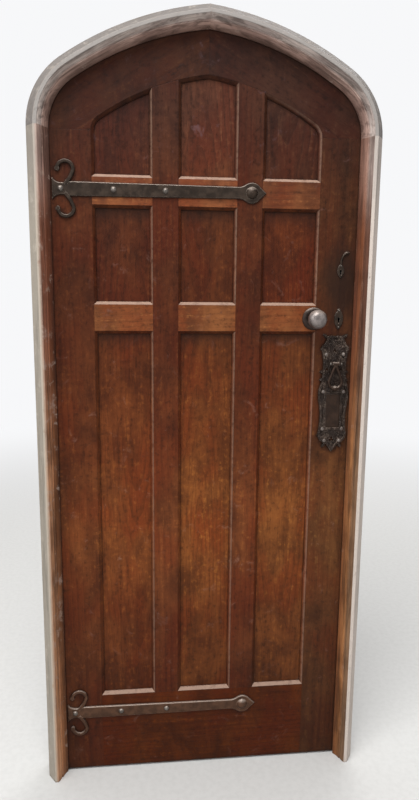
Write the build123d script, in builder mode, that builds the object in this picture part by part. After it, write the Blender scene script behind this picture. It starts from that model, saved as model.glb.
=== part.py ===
from build123d import *
from math import asin, cos, radians, sin, sqrt
import os

os.makedirs("parts", exist_ok=True)

# An arched oak door in its moulded frame, with wrought straps, a letter plate with a knocker, and rim locks.
# Millimetres, +Z up. X runs across the opening, with the lock side at +X. The leaf's front face is at
# y = 0 and its back is towards +Y. The origin is on the floor, at the middle of the opening.

# Opening, measured at the frame's visible inner edge. The head is a four-centred arch.
opening_width = 762.0
springing_height = 1710.0
arch_rise = 234.0
shoulder_radius = 138.0
shoulder_angle = 56.0

# Frame section, outward from the opening and forward from the leaf's face
rebate_width = 12.0
nose_thickness = 4.0
ovolo_width = 11.0
ovolo_depth = 20.5
ovolo_bulge = 1.83
quirk_width = 3.0
hollow_width = 8.0
hollow_sag = 1.33
frame_projection = 44.0
front_fillet_width = 8.0
outer_splay_width = 20.0
outer_splay_depth = 28.0
jamb_tenon_width = 16.0
jamb_tenon_depth = 30.0
head_tenon_length = 45.0
frame_key_length = 60.0
frame_key_height = 16.0

# Leaf
leaf_thickness = 42.0
edge_gap = 3.0
stop_gap = 1.5
floor_gap = 6.0
stile_width = 107.0
muntin_width = 63.5
bottom_rail_height = 220.0
lock_rail_height = 66.0
hinge_rail_height = 65.0
middle_panel_height = 240.0
top_panel_side = 106.0
panel_recess = 10.0
panel_thickness = 16.0
groove_depth = 5.0
panel_gap = 2.0
tenon_shoulder = 8.0
bottom_tenon_haunch = 32.0
stub_tenon_length = 26.0
long_tenon_length = 60.0
stile_tenon_inset = 16.0
scribe_gap = 0.3

# Strap hinge fronts
strap_length = 522.0
strap_root_width = 34.0
strap_end_width = 28.0
strap_thickness = 5.0
strap_bevel = 1.6
strap_root_gap = 4.0
strap_flare_half = 25.5
strap_flare_bow = (10.0, 16.66)
strap_waist = (26.0, 13.94)
strap_shoulder_reach = 44.0
strap_neck_reach = 31.25
strap_neck_bow = (22.5, 2.0)
strap_boss_root_angle = 123.4
strap_boss_tip_angle = 36.9
upper_strap_drop = 30.0
lower_strap_height = 178.0
strap_boss_radius = 25.0
strap_boss_inset = 36.0
boss_dome_radius = 15.0
boss_dome_height = 9.0
scroll_radius = 19.0
scroll_bar_width = 8.0
scroll_bar_thickness = 6.5
scroll_offset = 32.0
scroll_rise = 45.0
scroll_foot_back = 1.9
scroll_foot_rise = 10.2
scroll_tip_rise = 0.95
scroll_edge_radius = 1.95
scroll_ball_radius = 4.96
scroll_bow_reach = 13.7
stud_radius = 7.0
stud_height = 5.0
stud_shank_radius = 2.5
stud_shank_length = 24.0
first_stud_inset = 20.0
stud_spacing = 126.0
stud_count = 3

# Butt hinges at the back edge of the hinge stile
butt_height = 100.0
butt_plate_width = 28.0
butt_plate_thickness = 2.5
butt_plate_gap = 0.6
butt_barrel_radius = 5.5
butt_pin_radius = 3.0
butt_pin_clearance = 0.05
butt_knuckle_count = 5
butt_knuckle_gap = 0.3
butt_tip_height = 4.0
butt_tip_taper = 25.0
butt_screw_inset = 12.6
butt_stand_off = 0.3
butt_screw_rows = 2

# Wood screws
screw_head_radius = 4.2
screw_shank_radius = 2.1
screw_length = 20.0
screw_dome_height = 1.4

# Knob and rim lock on the lock rail's centre line
knob_backset = 113.0
key_backset = 46.0
rose_radius = 29.0
rose_thickness = 6.0
rose_edge_thickness = 2.0
rose_lip = 3.0
rose_bore_gap = 0.6
knob_radius = 24.0
knob_projection = 60.0
knob_neck_radius = 9.0
knob_collar_lip = 3.0
knob_collar_height = 3.0
knob_crown_height = 3.0
knob_crown_radius = 13.5
knob_head_length = 36.0
knob_stand_off = 0.5
spindle_width = 8.0
spindle_bore_radius = 8.5
lock_length = 152.0
lock_height = 100.0
lock_depth = 24.0
lock_wall = 2.0
lock_flange = 9.0
lock_corner_radius = 6.0
lock_edge_radius = 1.5
follower_radius = 10.0
follower_play = 1.0
follower_journal_radius = 7.0
journal_clearance = 0.05
follower_arm_radius = 15.3
follower_arm_width = 3.4
follower_tip_radius = 3.0
follower_tip_gap = 0.5
follower_turn = 45.0
latch_travel = 12.0
latch_stud_inset = 58.0
latch_shoulder = 4.0
latch_slot_wall = 6.0
latch_lug_width = 6.0
latch_lug_dip = 2.0
latch_bar_height = 8.0
latch_height = 20.0
latch_head_depth = 14.0
latch_tail_depth = 8.0
latch_rise = 26.0
latch_bevel = 9.0
dead_bolt_height = 16.0
dead_bolt_depth = 12.0
dead_bolt_drop = 24.0
dead_bolt_length = 86.0
bolt_stud_inset = 62.0
key_notch_radius = 4.5
bolt_travel = 12.0
bolt_clearance = 0.4
spring_coil_radius = 3.4
spring_wire_radius = 0.6
spring_turns = 5
spring_end_gap = 0.3
spring_rise = 1.0
guide_stud_radius = 3.0
keyhole_radius = 3.5
keyhole_slot_width = 4.0
keyhole_drop = 11.0
key_bore_radius = 7.7
upper_key_bore_radius = 6.6
keep_width = 32.0
keep_wall = 2.5
keep_ear = 13.0
keep_corner_radius = 4.0
upper_key_rise = 122.0
upper_lock_length = 90.0
upper_lock_height = 62.0
upper_lock_depth = 20.0
upper_bolt_length = 70.0
upper_bolt_rise = 3.0

# Keyhole plates
keyhole_plate_width = 23.0
keyhole_plate_height = 42.0
keyhole_plate_thickness = 3.0
keyhole_plate_lobe = 5.0
keyhole_plate_bevel = 1.0
small_plate_width = 18.0
small_plate_height = 36.0
small_plate_belly_rise = 2.7
small_plate_pin_rise = 12.96
finial_reach = 19.0
finial_rise = 25.0
finial_bow = 3.17
finial_bar_radius = 2.2
finial_leaf_length = 15.0
finial_leaf_width = 7.0
finial_leaf_lean = 15.0
pin_head_radius = 1.9
pin_head_height = 1.2
pin_shank_radius = 0.95
pin_length = 12.0

# Letter plate, placed on the lock stile below the lock rail
plate_height = 310.0
plate_half_width = 40.0
plate_drop = 11.0
plate_shift = 5.0
plate_crest_half = 20.0
plate_hip_half = 24.8
plate_hip_drop = 14.0
plate_shoulder_half = 36.8
plate_shoulder_drop = 30.0
plate_waist_half = 29.6
plate_waist_drop = 78.0
plate_cheek_rise = 8.0
plate_cheek_fall = 16.0
plate_girth_half = 34.4
plate_girth_fall = 50.0
plate_skirt_half = 37.6
plate_skirt_rise = 54.0
plate_heel_half = 29.6
plate_heel_rise = 30.0
plate_toe_half = 16.8
plate_toe_rise = 24.0
plate_tip_half = 8.0
plate_tip_rise = 12.0
plate_back_thickness = 4.0
plate_rim_height = 3.0
plate_rim_width = 4.5
plate_boss_rim = 1.6
plate_rib_radius = 1.6
plate_ball_radius = 2.4
plate_leaf_height = 2.5
plate_screw_drop = 48.05
plate_screw_rise = 31.0
plate_scroll_turn = -330.0
plate_scroll_curl = 0.55
cast_leaf_taper = 18.0
cast_leaf_belly = 0.4
tracery_radius = 4.2
foot_tracery_radius = 5.5
foot_tracery_rise = 34.0
flap_width = 43.0
flap_height = 94.0
flap_thickness = 3.0
flap_lip = 2.5
flap_gap = 0.5
flap_drop = 152.0
flap_barrel_radius = 2.2
flap_play = 0.3
flap_pin_radius = 1.25
flap_pin_bite = 5.0
flap_pin_clearance = 0.08
flap_edge_bevel = 1.0
screw_above_flap = 5.0
screw_below_flap = 1.0
knocker_drop = 72.0
knocker_loop_radius = 17.0
knocker_loop_fall = 48.0
knocker_bar_radius = 3.6
knocker_ball_radius = 7.5
knocker_barrel_radius = 5.5
knocker_barrel_length = 15.0
knocker_pin_radius = 2.2
knocker_pin_clearance = 0.08
knocker_stand_off = 17.5
knocker_lug_thickness = 5.0
knocker_lug_half_foot = 8.8
knocker_side_gap = 0.4
knocker_pin_end = 1.5
knocker_pin_head_rim = 1.4
knocker_pin_head_length = 2.5
strike_gap = 0.4
strike_taper = 20.0
strike_radius = 6.75

# Arch geometry. The right half has a shoulder arc and a crown arc that meet at the shoulder angle.
half_opening = opening_width / 2
shoulder_tilt = radians(shoulder_angle)
shoulder_x = half_opening - shoulder_radius
chord_square = shoulder_x**2 + arch_rise**2 - shoulder_radius**2
chord_along = -shoulder_x * cos(shoulder_tilt) + arch_rise * sin(shoulder_tilt)
centre_shift = chord_square / (2 * (shoulder_radius - chord_along))
crown_radius = shoulder_radius + centre_shift
crown_x = shoulder_x - centre_shift * cos(shoulder_tilt)
crown_z = springing_height - centre_shift * sin(shoulder_tilt)

# Edges and levels of the leaf and its members
leaf_lap = rebate_width - edge_gap
leaf_half = half_opening + leaf_lap
inner_offset = leaf_lap - stile_width
stile_inner = half_opening + inner_offset
panel_width = (2 * stile_inner - 2 * muntin_width) / 3
muntin_inner = panel_width / 2
muntin_outer = muntin_inner + muntin_width
leaf_bottom = floor_gap
bottom_rail_top = leaf_bottom + bottom_rail_height
hinge_rail_top = springing_height - top_panel_side
hinge_rail_bottom = hinge_rail_top - hinge_rail_height
lock_rail_top = hinge_rail_bottom - middle_panel_height
lock_rail_bottom = lock_rail_top - lock_rail_height
lock_rail_middle = (lock_rail_top + lock_rail_bottom) / 2
tenon_front = panel_recess
tenon_back = panel_recess + panel_thickness
groove_inset = -groove_depth
panel_inset = groove_inset + panel_gap
column_edges = {
    "left": (-stile_inner, -muntin_outer),
    "centre": (-muntin_inner, muntin_inner),
    "right": (muntin_outer, stile_inner),
}
row_levels = {"lower": (bottom_rail_top, lock_rail_bottom), "middle": (lock_rail_top, hinge_rail_bottom)}


def write(piece, name):
    piece.part.label = name
    export_step(piece.part, f"parts/{name}.step")


def face_plane(depth):
    """A plane across the door at this depth behind the leaf's face, with X to the right and Z up."""
    return Plane.XZ.offset(-depth)


def crown_height(x, offset):
    """Height of the crown arc at x, for an outline this far outside the opening's edge."""
    return crown_z + sqrt((crown_radius + offset) ** 2 - (abs(x) - crown_x) ** 2)


def crown_arc(side, x_start, x_end, offset):
    """Crown arc on one side of the centre line, from one x to another."""
    middle = (x_start + x_end) / 2
    ThreePointArc(
        (side * x_start, crown_height(x_start, offset)),
        (side * middle, crown_height(middle, offset)),
        (side * x_end, crown_height(x_end, offset)),
    )


def shoulder_point(side, angle, offset):
    radius = shoulder_radius + offset
    return (side * (shoulder_x + radius * cos(angle)), springing_height + radius * sin(angle))


def shoulder_arc(side, offset):
    """Shoulder arc from the crown arc down to the springing."""
    ThreePointArc(
        shoulder_point(side, shoulder_tilt, offset),
        shoulder_point(side, shoulder_tilt / 2, offset),
        shoulder_point(side, 0, offset),
    )


def draw_side_light(side, inset, foot_inset):
    """Arched panel opening beside a stile, drawn inside its edge by the inset."""
    offset = inner_offset - inset
    inner_x = muntin_outer + inset
    outer_x = stile_inner - inset
    foot = hinge_rail_top + foot_inset
    with BuildLine() as outline:
        Polyline(
            (side * outer_x, springing_height),
            (side * outer_x, foot),
            (side * inner_x, foot),
            (side * inner_x, crown_height(inner_x, offset)),
        )
        crown_arc(side, inner_x, abs(shoulder_point(side, shoulder_tilt, offset)[0]), offset)
        shoulder_arc(side, offset)
    make_face(outline.edges())


def draw_centre_light(inset, foot_inset):
    """Pointed panel opening between the muntins."""
    offset = inner_offset - inset
    edge = muntin_inner - inset
    foot = hinge_rail_top + foot_inset
    with BuildLine() as outline:
        head = crown_height(edge, offset)
        Polyline((-edge, head), (-edge, foot), (edge, foot), (edge, head))
        crown_arc(1, edge, 0, offset)
        crown_arc(-1, edge, 0, offset)
    make_face(outline.edges())


def draw_light(column, row, inset, foot_inset=None):
    """Outline of one panel opening, inside its edge by the inset, or outside it where that is negative."""
    foot_inset = inset if foot_inset is None else foot_inset
    if row == "top":
        if column == "centre":
            draw_centre_light(inset, foot_inset)
        else:
            draw_side_light(1 if column == "right" else -1, inset, foot_inset)
    else:
        left, right = column_edges[column]
        foot, head = row_levels[row]
        with BuildLine() as outline:
            Polyline(
                (left + inset, foot + foot_inset),
                (right - inset, foot + foot_inset),
                (right - inset, head - inset),
                (left + inset, head - inset),
                close=True,
            )
        make_face(outline.edges())


def light_cutter(column, row):
    """The groove that holds one panel, cut into the square edges of the members round its opening."""
    with BuildPart() as cutter:
        with BuildSketch(face_plane(panel_recess)):
            draw_light(column, row, groove_inset)
        extrude(amount=-panel_thickness)
    return cutter.part


def block(x_range, y_range, z_range, mode=Mode.ADD):
    """Rectangular stock between the given limits."""
    ranges = (x_range, y_range, z_range)
    with Locations(tuple((low + high) / 2 for low, high in ranges)):
        Box(*(high - low for low, high in ranges), mode=mode)


def take_away(*parts):
    for part in parts:
        add(part, mode=Mode.SUBTRACT)


def dome_middle(radius, height):
    """Half-way point of a round dome's profile: its radius, and its height above the rim."""
    sphere_radius = (radius**2 + height**2) / (2 * height)
    half_angle = asin(radius / sphere_radius) / 2
    return sphere_radius * sin(half_angle), height - sphere_radius * (1 - cos(half_angle))


def fastener(place, inward, head_radius, dome_height, shank_radius, length, sink=0):
    """A fastener whose domed or flat head lies on a surface, or sinks into it as a cone."""
    across = Vector(0, 0, 1)
    with BuildSketch(Plane(origin=place, x_dir=across, z_dir=across.cross(Vector(*inward)))) as profile:
        with BuildLine():
            if dome_height:
                middle_radius, middle_height = dome_middle(head_radius, dome_height)
                ThreePointArc((0, -dome_height), (middle_radius, -middle_height), (head_radius, 0))
            else:
                Line((0, 0), (head_radius, 0))
            shank_end = (shank_radius, length)
            Polyline((head_radius, 0), (shank_radius, sink), shank_end, (0, length), (0, -dome_height))
        make_face()
    revolve(profile.sketch, axis=Axis(place, inward))


def wood_screw(place, inward, dome_height=screw_dome_height):
    sink = screw_head_radius - screw_shank_radius
    fastener(place, inward, screw_head_radius, dome_height, screw_shank_radius, screw_length, sink)


lights = {
    (column, row): light_cutter(column, row)
    for column in column_edges
    for row in ("lower", "middle", "top")
}

# Frame: two jambs and a two-piece arched head of one moulded section
front_inner = ovolo_width + quirk_width + hollow_width
front_outer = front_inner + front_fillet_width
frame_outer = front_outer + outer_splay_width
ovolo_start = stop_gap + nose_thickness
ovolo_end = ovolo_start + ovolo_depth
frame_front = -frame_projection
frame_back = leaf_thickness


def draw_frame_section(start):
    """Moulded section, from the stop's nose outward to the back of the frame."""
    ovolo_foot = (start, -ovolo_start)
    ovolo_top = (start + ovolo_width, -ovolo_end)
    hollow_foot = (start + ovolo_width + quirk_width, -ovolo_end)
    hollow_top = (start + front_inner, frame_front)
    with BuildLine() as outline:
        SagittaArc(ovolo_foot, ovolo_top, ovolo_bulge)
        Line(ovolo_top, hollow_foot)
        SagittaArc(hollow_foot, hollow_top, -hollow_sag)
        Polyline(
            hollow_top,
            (start + front_outer, frame_front),
            (start + frame_outer, frame_front + outer_splay_depth),
            (start + frame_outer, frame_back),
            (start + rebate_width, frame_back),
            (start + rebate_width, -stop_gap),
            (start, -stop_gap),
            ovolo_foot,
        )
    make_face(outline.edges())


tenon_inner = half_opening + (rebate_width + frame_outer - jamb_tenon_width) / 2
tenon_outer = tenon_inner + jamb_tenon_width
tenon_middle = (frame_back + frame_front + outer_splay_depth) / 2
tenon_depths = (tenon_middle - jamb_tenon_depth / 2, tenon_middle + jamb_tenon_depth / 2)
tenon_top = springing_height + head_tenon_length
frame_apex = crown_height(0, 0)
key_foot = frame_apex + (rebate_width + frame_outer - frame_key_height) / 2

with BuildPart() as frame_crown_key:
    block(
        (-frame_key_length / 2, frame_key_length / 2),
        tenon_depths,
        (key_foot, key_foot + frame_key_height),
    )

with BuildPart() as plain_jamb:
    with BuildSketch(Plane.XY):
        draw_frame_section(half_opening)
    extrude(amount=springing_height)
    block((tenon_inner, tenon_outer), tenon_depths, (springing_height, tenon_top))

with BuildPart() as frame_head_right:
    with BuildSketch(Plane.XY.offset(springing_height)):
        draw_frame_section(half_opening)
    revolve(axis=Axis((shoulder_x, 0, springing_height), (0, -1, 0)), revolution_arc=shoulder_angle)
    outward = (cos(shoulder_tilt), 0, sin(shoulder_tilt))
    along = (-sin(shoulder_tilt), 0, cos(shoulder_tilt))
    with BuildSketch(Plane(origin=(crown_x, 0, crown_z), x_dir=outward, z_dir=along)):
        draw_frame_section(crown_radius)
    revolve(axis=Axis((crown_x, 0, crown_z), (0, -1, 0)), revolution_arc=90 - shoulder_angle)
    split(bisect_by=Plane.YZ, keep=Keep.TOP)
    take_away(plain_jamb.part, frame_crown_key.part)

with BuildPart() as frame_head_left:
    mirror(frame_head_right.part, about=Plane.YZ)

# Butt hinges: a plate on the jamb and one on the leaf, with interleaved knuckles round a loose pin
butt_x = -(leaf_half + edge_gap / 2)
butt_y = leaf_thickness + butt_stand_off + butt_barrel_radius
upper_strap_z = hinge_rail_top - upper_strap_drop
lower_strap_z = lower_strap_height
butt_levels = {"upper": upper_strap_z, "lower": lower_strap_z}
knuckle_height = butt_height / butt_knuckle_count
butt_plate_front = leaf_thickness - butt_plate_width
butt_screw_depth = butt_plate_front + butt_screw_inset


def butt_plate(middle, side):
    """One plate of a butt hinge: side -1 lies in the jamb, side 1 in the leaf's edge."""
    foot = middle - butt_height / 2
    inner = butt_x + side * butt_plate_gap / 2
    outer = inner + side * butt_plate_thickness
    own = 0 if side < 0 else 1
    with BuildPart() as plate:
        block((min(inner, outer), max(inner, outer)), (butt_plate_front, butt_y), (foot, foot + butt_height))
        for knuckle in range(butt_knuckle_count):
            knuckle_foot = foot + knuckle * knuckle_height
            radius = butt_barrel_radius
            mine = knuckle % 2 == own
            low = knuckle_foot if mine else knuckle_foot - butt_knuckle_gap
            high = knuckle_foot + knuckle_height if mine else knuckle_foot + knuckle_height + butt_knuckle_gap
            with BuildSketch(Plane.XY.offset(low)):
                with Locations((butt_x, butt_y)):
                    Circle(radius if mine else radius + butt_knuckle_gap)
            extrude(amount=high - low, mode=Mode.ADD if mine else Mode.SUBTRACT)
        with BuildSketch(Plane.XY.offset(foot)):
            with Locations((butt_x, butt_y)):
                Circle(butt_pin_radius + (butt_pin_clearance if side > 0 else 0))
        extrude(amount=butt_height, mode=Mode.SUBTRACT)
    return plate


def butt_screw_places(middle, side):
    """Screw heads lie on the plate's inner face."""
    spread = butt_height / (butt_screw_rows + 1)
    surface = butt_x + side * butt_plate_gap / 2
    first = middle - spread * (butt_screw_rows - 1) / 2
    return [(surface, butt_screw_depth, first + row * spread) for row in range(butt_screw_rows)]


def butt_housings(side):
    """Shallow recesses for the plates: side -1 in the jamb, side 1 in the leaf's edge."""
    inner = butt_x + side * butt_plate_gap / 2
    outer = inner + side * butt_plate_thickness
    for middle in butt_levels.values():
        block(
            (min(inner, outer), max(inner, outer)),
            (butt_plate_front, leaf_thickness),
            (middle - butt_height / 2, middle + butt_height / 2),
            Mode.SUBTRACT,
        )


frame_plates = {level: butt_plate(middle, -1) for level, middle in butt_levels.items()}
leaf_plates = {level: butt_plate(middle, 1) for level, middle in butt_levels.items()}

with BuildPart() as hinge_pins:
    for middle in butt_levels.values():
        with BuildSketch(Plane.XY.offset(middle - butt_height / 2)):
            with Locations((butt_x, butt_y)):
                Circle(butt_pin_radius)
        extrude(amount=butt_height)
        for end, direction in ((middle + butt_height / 2, 1), (middle - butt_height / 2, -1)):
            with BuildSketch(Plane.XY.offset(end)):
                with Locations((butt_x, butt_y)):
                    Circle(butt_barrel_radius)
            extrude(amount=direction * butt_tip_height, taper=butt_tip_taper)

# Rim lock on the back of the leaf, with its spindle and key on the lock rail's centre line
knob_x = leaf_half - knob_backset
key_x = leaf_half - key_backset
lock_z = lock_rail_middle
lock_left = leaf_half - lock_length
lock_foot = lock_z - lock_height / 2
lock_head = lock_z + lock_height / 2
lock_floor = leaf_thickness + lock_wall
lock_roof = leaf_thickness + lock_depth - lock_wall
lock_back = leaf_thickness + lock_depth
latch_middle = lock_z + latch_rise
latch_low = latch_middle - latch_height / 2
latch_high = latch_middle + latch_height / 2
bolt_middle = lock_z - dead_bolt_drop
bolt_face = leaf_half - bolt_clearance
mechanism_depth = (lock_floor + lock_roof) / 2
arm_lean = radians(follower_turn / 2)
arm_tip_x = knob_x - follower_arm_radius * sin(arm_lean)
arm_tip_z = lock_z + follower_arm_radius * cos(arm_lean)
lug_face = arm_tip_x - follower_tip_radius - follower_tip_gap
latch_stud_x = leaf_half - latch_stud_inset
bolt_stud_x = leaf_half - bolt_stud_inset
slot_half = guide_stud_radius + bolt_clearance


def round_bore(x, z, radius, front, back, mode=Mode.SUBTRACT):
    """A round hole, or a boss, along Y between two depths."""
    with BuildSketch(face_plane(front)) as disc:
        with Locations((x, z)):
            Circle(radius)
    extrude(disc.sketch, amount=front - back, mode=mode)


def keyhole(x, z, front, back):
    """A round hole with a slot below it."""
    with BuildSketch(face_plane(front)) as opening:
        with Locations((x, z)):
            Circle(keyhole_radius)
        with Locations((x, z - keyhole_drop / 2)):
            Rectangle(keyhole_slot_width, keyhole_drop)
    extrude(opening.sketch, amount=front - back, mode=Mode.SUBTRACT)


def lock_screw_places(foot, head, left):
    """Screws in a lock's flanges, all of them over the stile."""
    places = []
    for z in (foot - lock_flange / 2, head + lock_flange / 2):
        for x in (max(left, stile_inner) + 2 * lock_flange, leaf_half - lock_flange):
            places.append((x, leaf_thickness + lock_wall, z))
    return places


lock_screws = lock_screw_places(lock_foot, lock_head, lock_left)

with BuildPart() as lock_plate:
    block(
        (lock_left, leaf_half),
        (leaf_thickness, lock_floor),
        (lock_foot - lock_flange, lock_head + lock_flange),
    )
    round_bore(knob_x, lock_z, follower_journal_radius + journal_clearance, leaf_thickness, lock_floor)
    keyhole(key_x, lock_z, leaf_thickness, lock_floor)
    for stud_x, stud_z in ((latch_stud_x, latch_middle), (bolt_stud_x, bolt_middle)):
        round_bore(stud_x, stud_z, guide_stud_radius, lock_floor, lock_roof, Mode.ADD)

with BuildPart() as lock_case:
    block((lock_left, leaf_half), (lock_floor, lock_back), (lock_foot, lock_head))
    fillet(lock_case.edges().filter_by(Axis.Y).group_by(Axis.X)[0], radius=lock_corner_radius)
    fillet(lock_case.faces().sort_by(Axis.Y)[-1].edges(), radius=lock_edge_radius)
    block(
        (lock_left + lock_wall, leaf_half - lock_wall),
        (lock_floor, lock_roof),
        (lock_foot + lock_wall, lock_head - lock_wall),
        Mode.SUBTRACT,
    )
    for middle, height, depth in (
        (latch_middle, latch_height, latch_head_depth),
        (bolt_middle, dead_bolt_height, dead_bolt_depth),
    ):
        block(
            (leaf_half - lock_wall, leaf_half),
            (mechanism_depth - depth / 2 - bolt_clearance, mechanism_depth + depth / 2 + bolt_clearance),
            (middle - height / 2 - bolt_clearance, middle + height / 2 + bolt_clearance),
            Mode.SUBTRACT,
        )
    round_bore(knob_x, lock_z, follower_journal_radius + journal_clearance, lock_roof, lock_back)
    keyhole(key_x, lock_z, lock_roof, lock_back)

with BuildPart() as spindle:
    block(
        (knob_x - spindle_width / 2, knob_x + spindle_width / 2),
        (-knob_projection + knob_radius, lock_back + knob_projection - knob_radius),
        (lock_z - spindle_width / 2, lock_z + spindle_width / 2),
    )

with BuildPart() as lock_follower:
    round_bore(knob_x, lock_z, follower_journal_radius, leaf_thickness, lock_back, Mode.ADD)
    collar_depths = (lock_floor + follower_play, lock_roof - follower_play)
    round_bore(knob_x, lock_z, follower_radius, *collar_depths, Mode.ADD)
    with BuildSketch(face_plane(mechanism_depth - latch_tail_depth / 2)):
        with BuildLine():
            arm_half = follower_arm_width / 2
            across_x, across_z = arm_half * cos(arm_lean), arm_half * sin(arm_lean)
            Polyline(
                (knob_x - across_x, lock_z - across_z),
                (knob_x + across_x, lock_z + across_z),
                (arm_tip_x + across_x, arm_tip_z + across_z),
                (arm_tip_x - across_x, arm_tip_z - across_z),
                close=True,
            )
        make_face()
        with Locations((arm_tip_x, arm_tip_z)):
            Circle(follower_tip_radius)
    extrude(amount=-latch_tail_depth)
    take_away(spindle.part)

with BuildPart() as latch_bolt:
    head_left = latch_stud_x + guide_stud_radius + latch_shoulder
    slot_left = latch_stud_x - slot_half - latch_travel
    tail_left = slot_left - latch_slot_wall
    head_depths = (mechanism_depth - latch_head_depth / 2, mechanism_depth + latch_head_depth / 2)
    tail_depths = (mechanism_depth - latch_tail_depth / 2, mechanism_depth + latch_tail_depth / 2)
    block((head_left, bolt_face), head_depths, (latch_low, latch_high))
    chamfer(
        latch_bolt.edges().filter_by(Axis.Z).group_by(Axis.X)[-1].sort_by(Axis.Y)[0],
        length=latch_bevel,
    )
    block((tail_left, head_left), tail_depths, (latch_low, latch_high))
    block(
        (slot_left, latch_stud_x + slot_half),
        tail_depths,
        (latch_middle - slot_half, latch_middle + slot_half),
        Mode.SUBTRACT,
    )
    block((lug_face - latch_lug_width, tail_left), tail_depths, (latch_high - latch_bar_height, latch_high))
    block((lug_face - latch_lug_width, lug_face), tail_depths, (arm_tip_z - latch_lug_dip, latch_high))

with BuildPart() as dead_bolt:
    bolt_depths = (mechanism_depth - dead_bolt_depth / 2, mechanism_depth + dead_bolt_depth / 2)
    block(
        (bolt_face - dead_bolt_length, bolt_face),
        bolt_depths,
        (bolt_middle - dead_bolt_height / 2, bolt_middle + dead_bolt_height / 2),
    )
    block(
        (bolt_stud_x - slot_half - bolt_travel, bolt_stud_x + slot_half),
        bolt_depths,
        (bolt_middle - slot_half, bolt_middle + slot_half),
        Mode.SUBTRACT,
    )
    round_bore(
        key_x + bolt_travel / 2,
        bolt_middle + dead_bolt_height / 2,
        key_notch_radius,
        bolt_depths[0],
        bolt_depths[1],
    )

with BuildPart() as latch_spring:
    coil_start = lock_left + lock_wall + spring_wire_radius + spring_end_gap
    coil_reach = lug_face - latch_lug_width - spring_wire_radius - spring_end_gap - coil_start
    with BuildLine() as coil:
        Helix(
            pitch=coil_reach / spring_turns,
            height=coil_reach,
            radius=spring_coil_radius,
            center=(coil_start, mechanism_depth, arm_tip_z + spring_rise),
            direction=(1, 0, 0),
        )
    with BuildSketch(Plane(origin=coil.line @ 0, z_dir=coil.line % 0)):
        Circle(spring_wire_radius)
    sweep(path=coil.line, is_frenet=True)


def knob(surface, direction):
    """A turned knob with its neck, on a surface, projecting along Y in the given direction."""
    collar_radius = knob_neck_radius + knob_collar_lip
    head_foot = knob_projection - knob_head_length
    crown_foot = knob_projection - knob_crown_height
    middle_radius, middle_height = dome_middle(knob_crown_radius, knob_crown_height)
    with BuildPart() as turned:
        centre = (knob_x, surface, lock_z)
        with BuildSketch(Plane(origin=centre, x_dir=(1, 0, 0), z_dir=(0, 0, direction))):
            with BuildLine():
                Polyline((0, knob_projection), (0, 0), (collar_radius, 0), (collar_radius, knob_collar_height))
                ThreePointArc(
                    (collar_radius, knob_collar_height),
                    (knob_neck_radius, (knob_collar_height + head_foot) / 2),
                    (collar_radius, head_foot),
                )
                ThreePointArc(
                    (collar_radius, head_foot),
                    (knob_radius, (head_foot + crown_foot) / 2),
                    (knob_crown_radius, crown_foot),
                )
                ThreePointArc(
                    (knob_crown_radius, crown_foot),
                    (middle_radius, crown_foot + middle_height),
                    (0, knob_projection),
                )
            make_face()
        revolve(axis=Axis(centre, (0, direction, 0)))
        take_away(spindle.part)
    return turned


with BuildPart() as outer_rose:
    with BuildSketch(Plane(origin=(knob_x, 0, lock_z), x_dir=(1, 0, 0), z_dir=(0, 0, -1))):
        with BuildLine():
            bore = knob_neck_radius + knob_collar_lip + rose_bore_gap
            rose_edge = (rose_radius, rose_edge_thickness)
            rose_crest = (bore + rose_lip, rose_thickness)
            Polyline((bore, rose_thickness), (bore, 0), (rose_radius, 0), rose_edge)
            SagittaArc(rose_edge, rose_crest, -rose_edge_thickness)
            Line(rose_crest, (bore, rose_thickness))
        make_face()
    revolve(axis=Axis((knob_x, 0, lock_z), (0, 1, 0)))

outer_knob = knob(-knob_stand_off, -1)
inner_knob = knob(lock_back + knob_stand_off, 1)

# Upper dead lock, a small rim case with one bolt
upper_key_z = lock_z + upper_key_rise
upper_left = leaf_half - upper_lock_length
upper_foot = upper_key_z - upper_lock_height / 2
upper_head = upper_key_z + upper_lock_height / 2
upper_back = leaf_thickness + upper_lock_depth
upper_depth = leaf_thickness + upper_lock_depth / 2
upper_bolt_low = upper_foot + lock_wall + upper_bolt_rise
upper_bolt_high = upper_bolt_low + dead_bolt_height
upper_bolt_depths = (upper_depth - dead_bolt_depth / 2, upper_depth + dead_bolt_depth / 2)

with BuildPart() as upper_lock_case:
    block((upper_left, leaf_half), (leaf_thickness, upper_back), (upper_foot, upper_head))
    fillet(upper_lock_case.faces().sort_by(Axis.Y)[-1].edges(), radius=lock_edge_radius)
    block(
        (upper_left, leaf_half),
        (leaf_thickness, leaf_thickness + lock_wall),
        (upper_foot - lock_flange, upper_head + lock_flange),
    )
    block(
        (upper_left + lock_wall, leaf_half - lock_wall),
        (leaf_thickness, upper_back - lock_wall),
        (upper_foot + lock_wall, upper_head - lock_wall),
        Mode.SUBTRACT,
    )
    block(
        (leaf_half - lock_wall, leaf_half),
        (upper_bolt_depths[0] - bolt_clearance, upper_bolt_depths[1] + bolt_clearance),
        (upper_bolt_low - bolt_clearance, upper_bolt_high + bolt_clearance),
        Mode.SUBTRACT,
    )
    keyhole(key_x, upper_key_z, upper_back - lock_wall, upper_back)
    block(
        (upper_left + lock_wall, leaf_half - lock_wall),
        upper_bolt_depths,
        (upper_foot + lock_wall, upper_bolt_low - bolt_clearance),
    )

with BuildPart() as upper_bolt:
    bolt_reach = (bolt_face - upper_bolt_length, bolt_face)
    block(bolt_reach, upper_bolt_depths, (upper_bolt_low, upper_bolt_high))
    round_bore(key_x + bolt_travel / 2, upper_bolt_high, key_notch_radius, *upper_bolt_depths)

upper_lock_screws = lock_screw_places(upper_foot, upper_head, upper_left)

# Keeps: open-mouthed boxes screwed to the back of the lock jamb
keep_left = half_opening + rebate_width
keep_right = keep_left + keep_width


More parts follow.
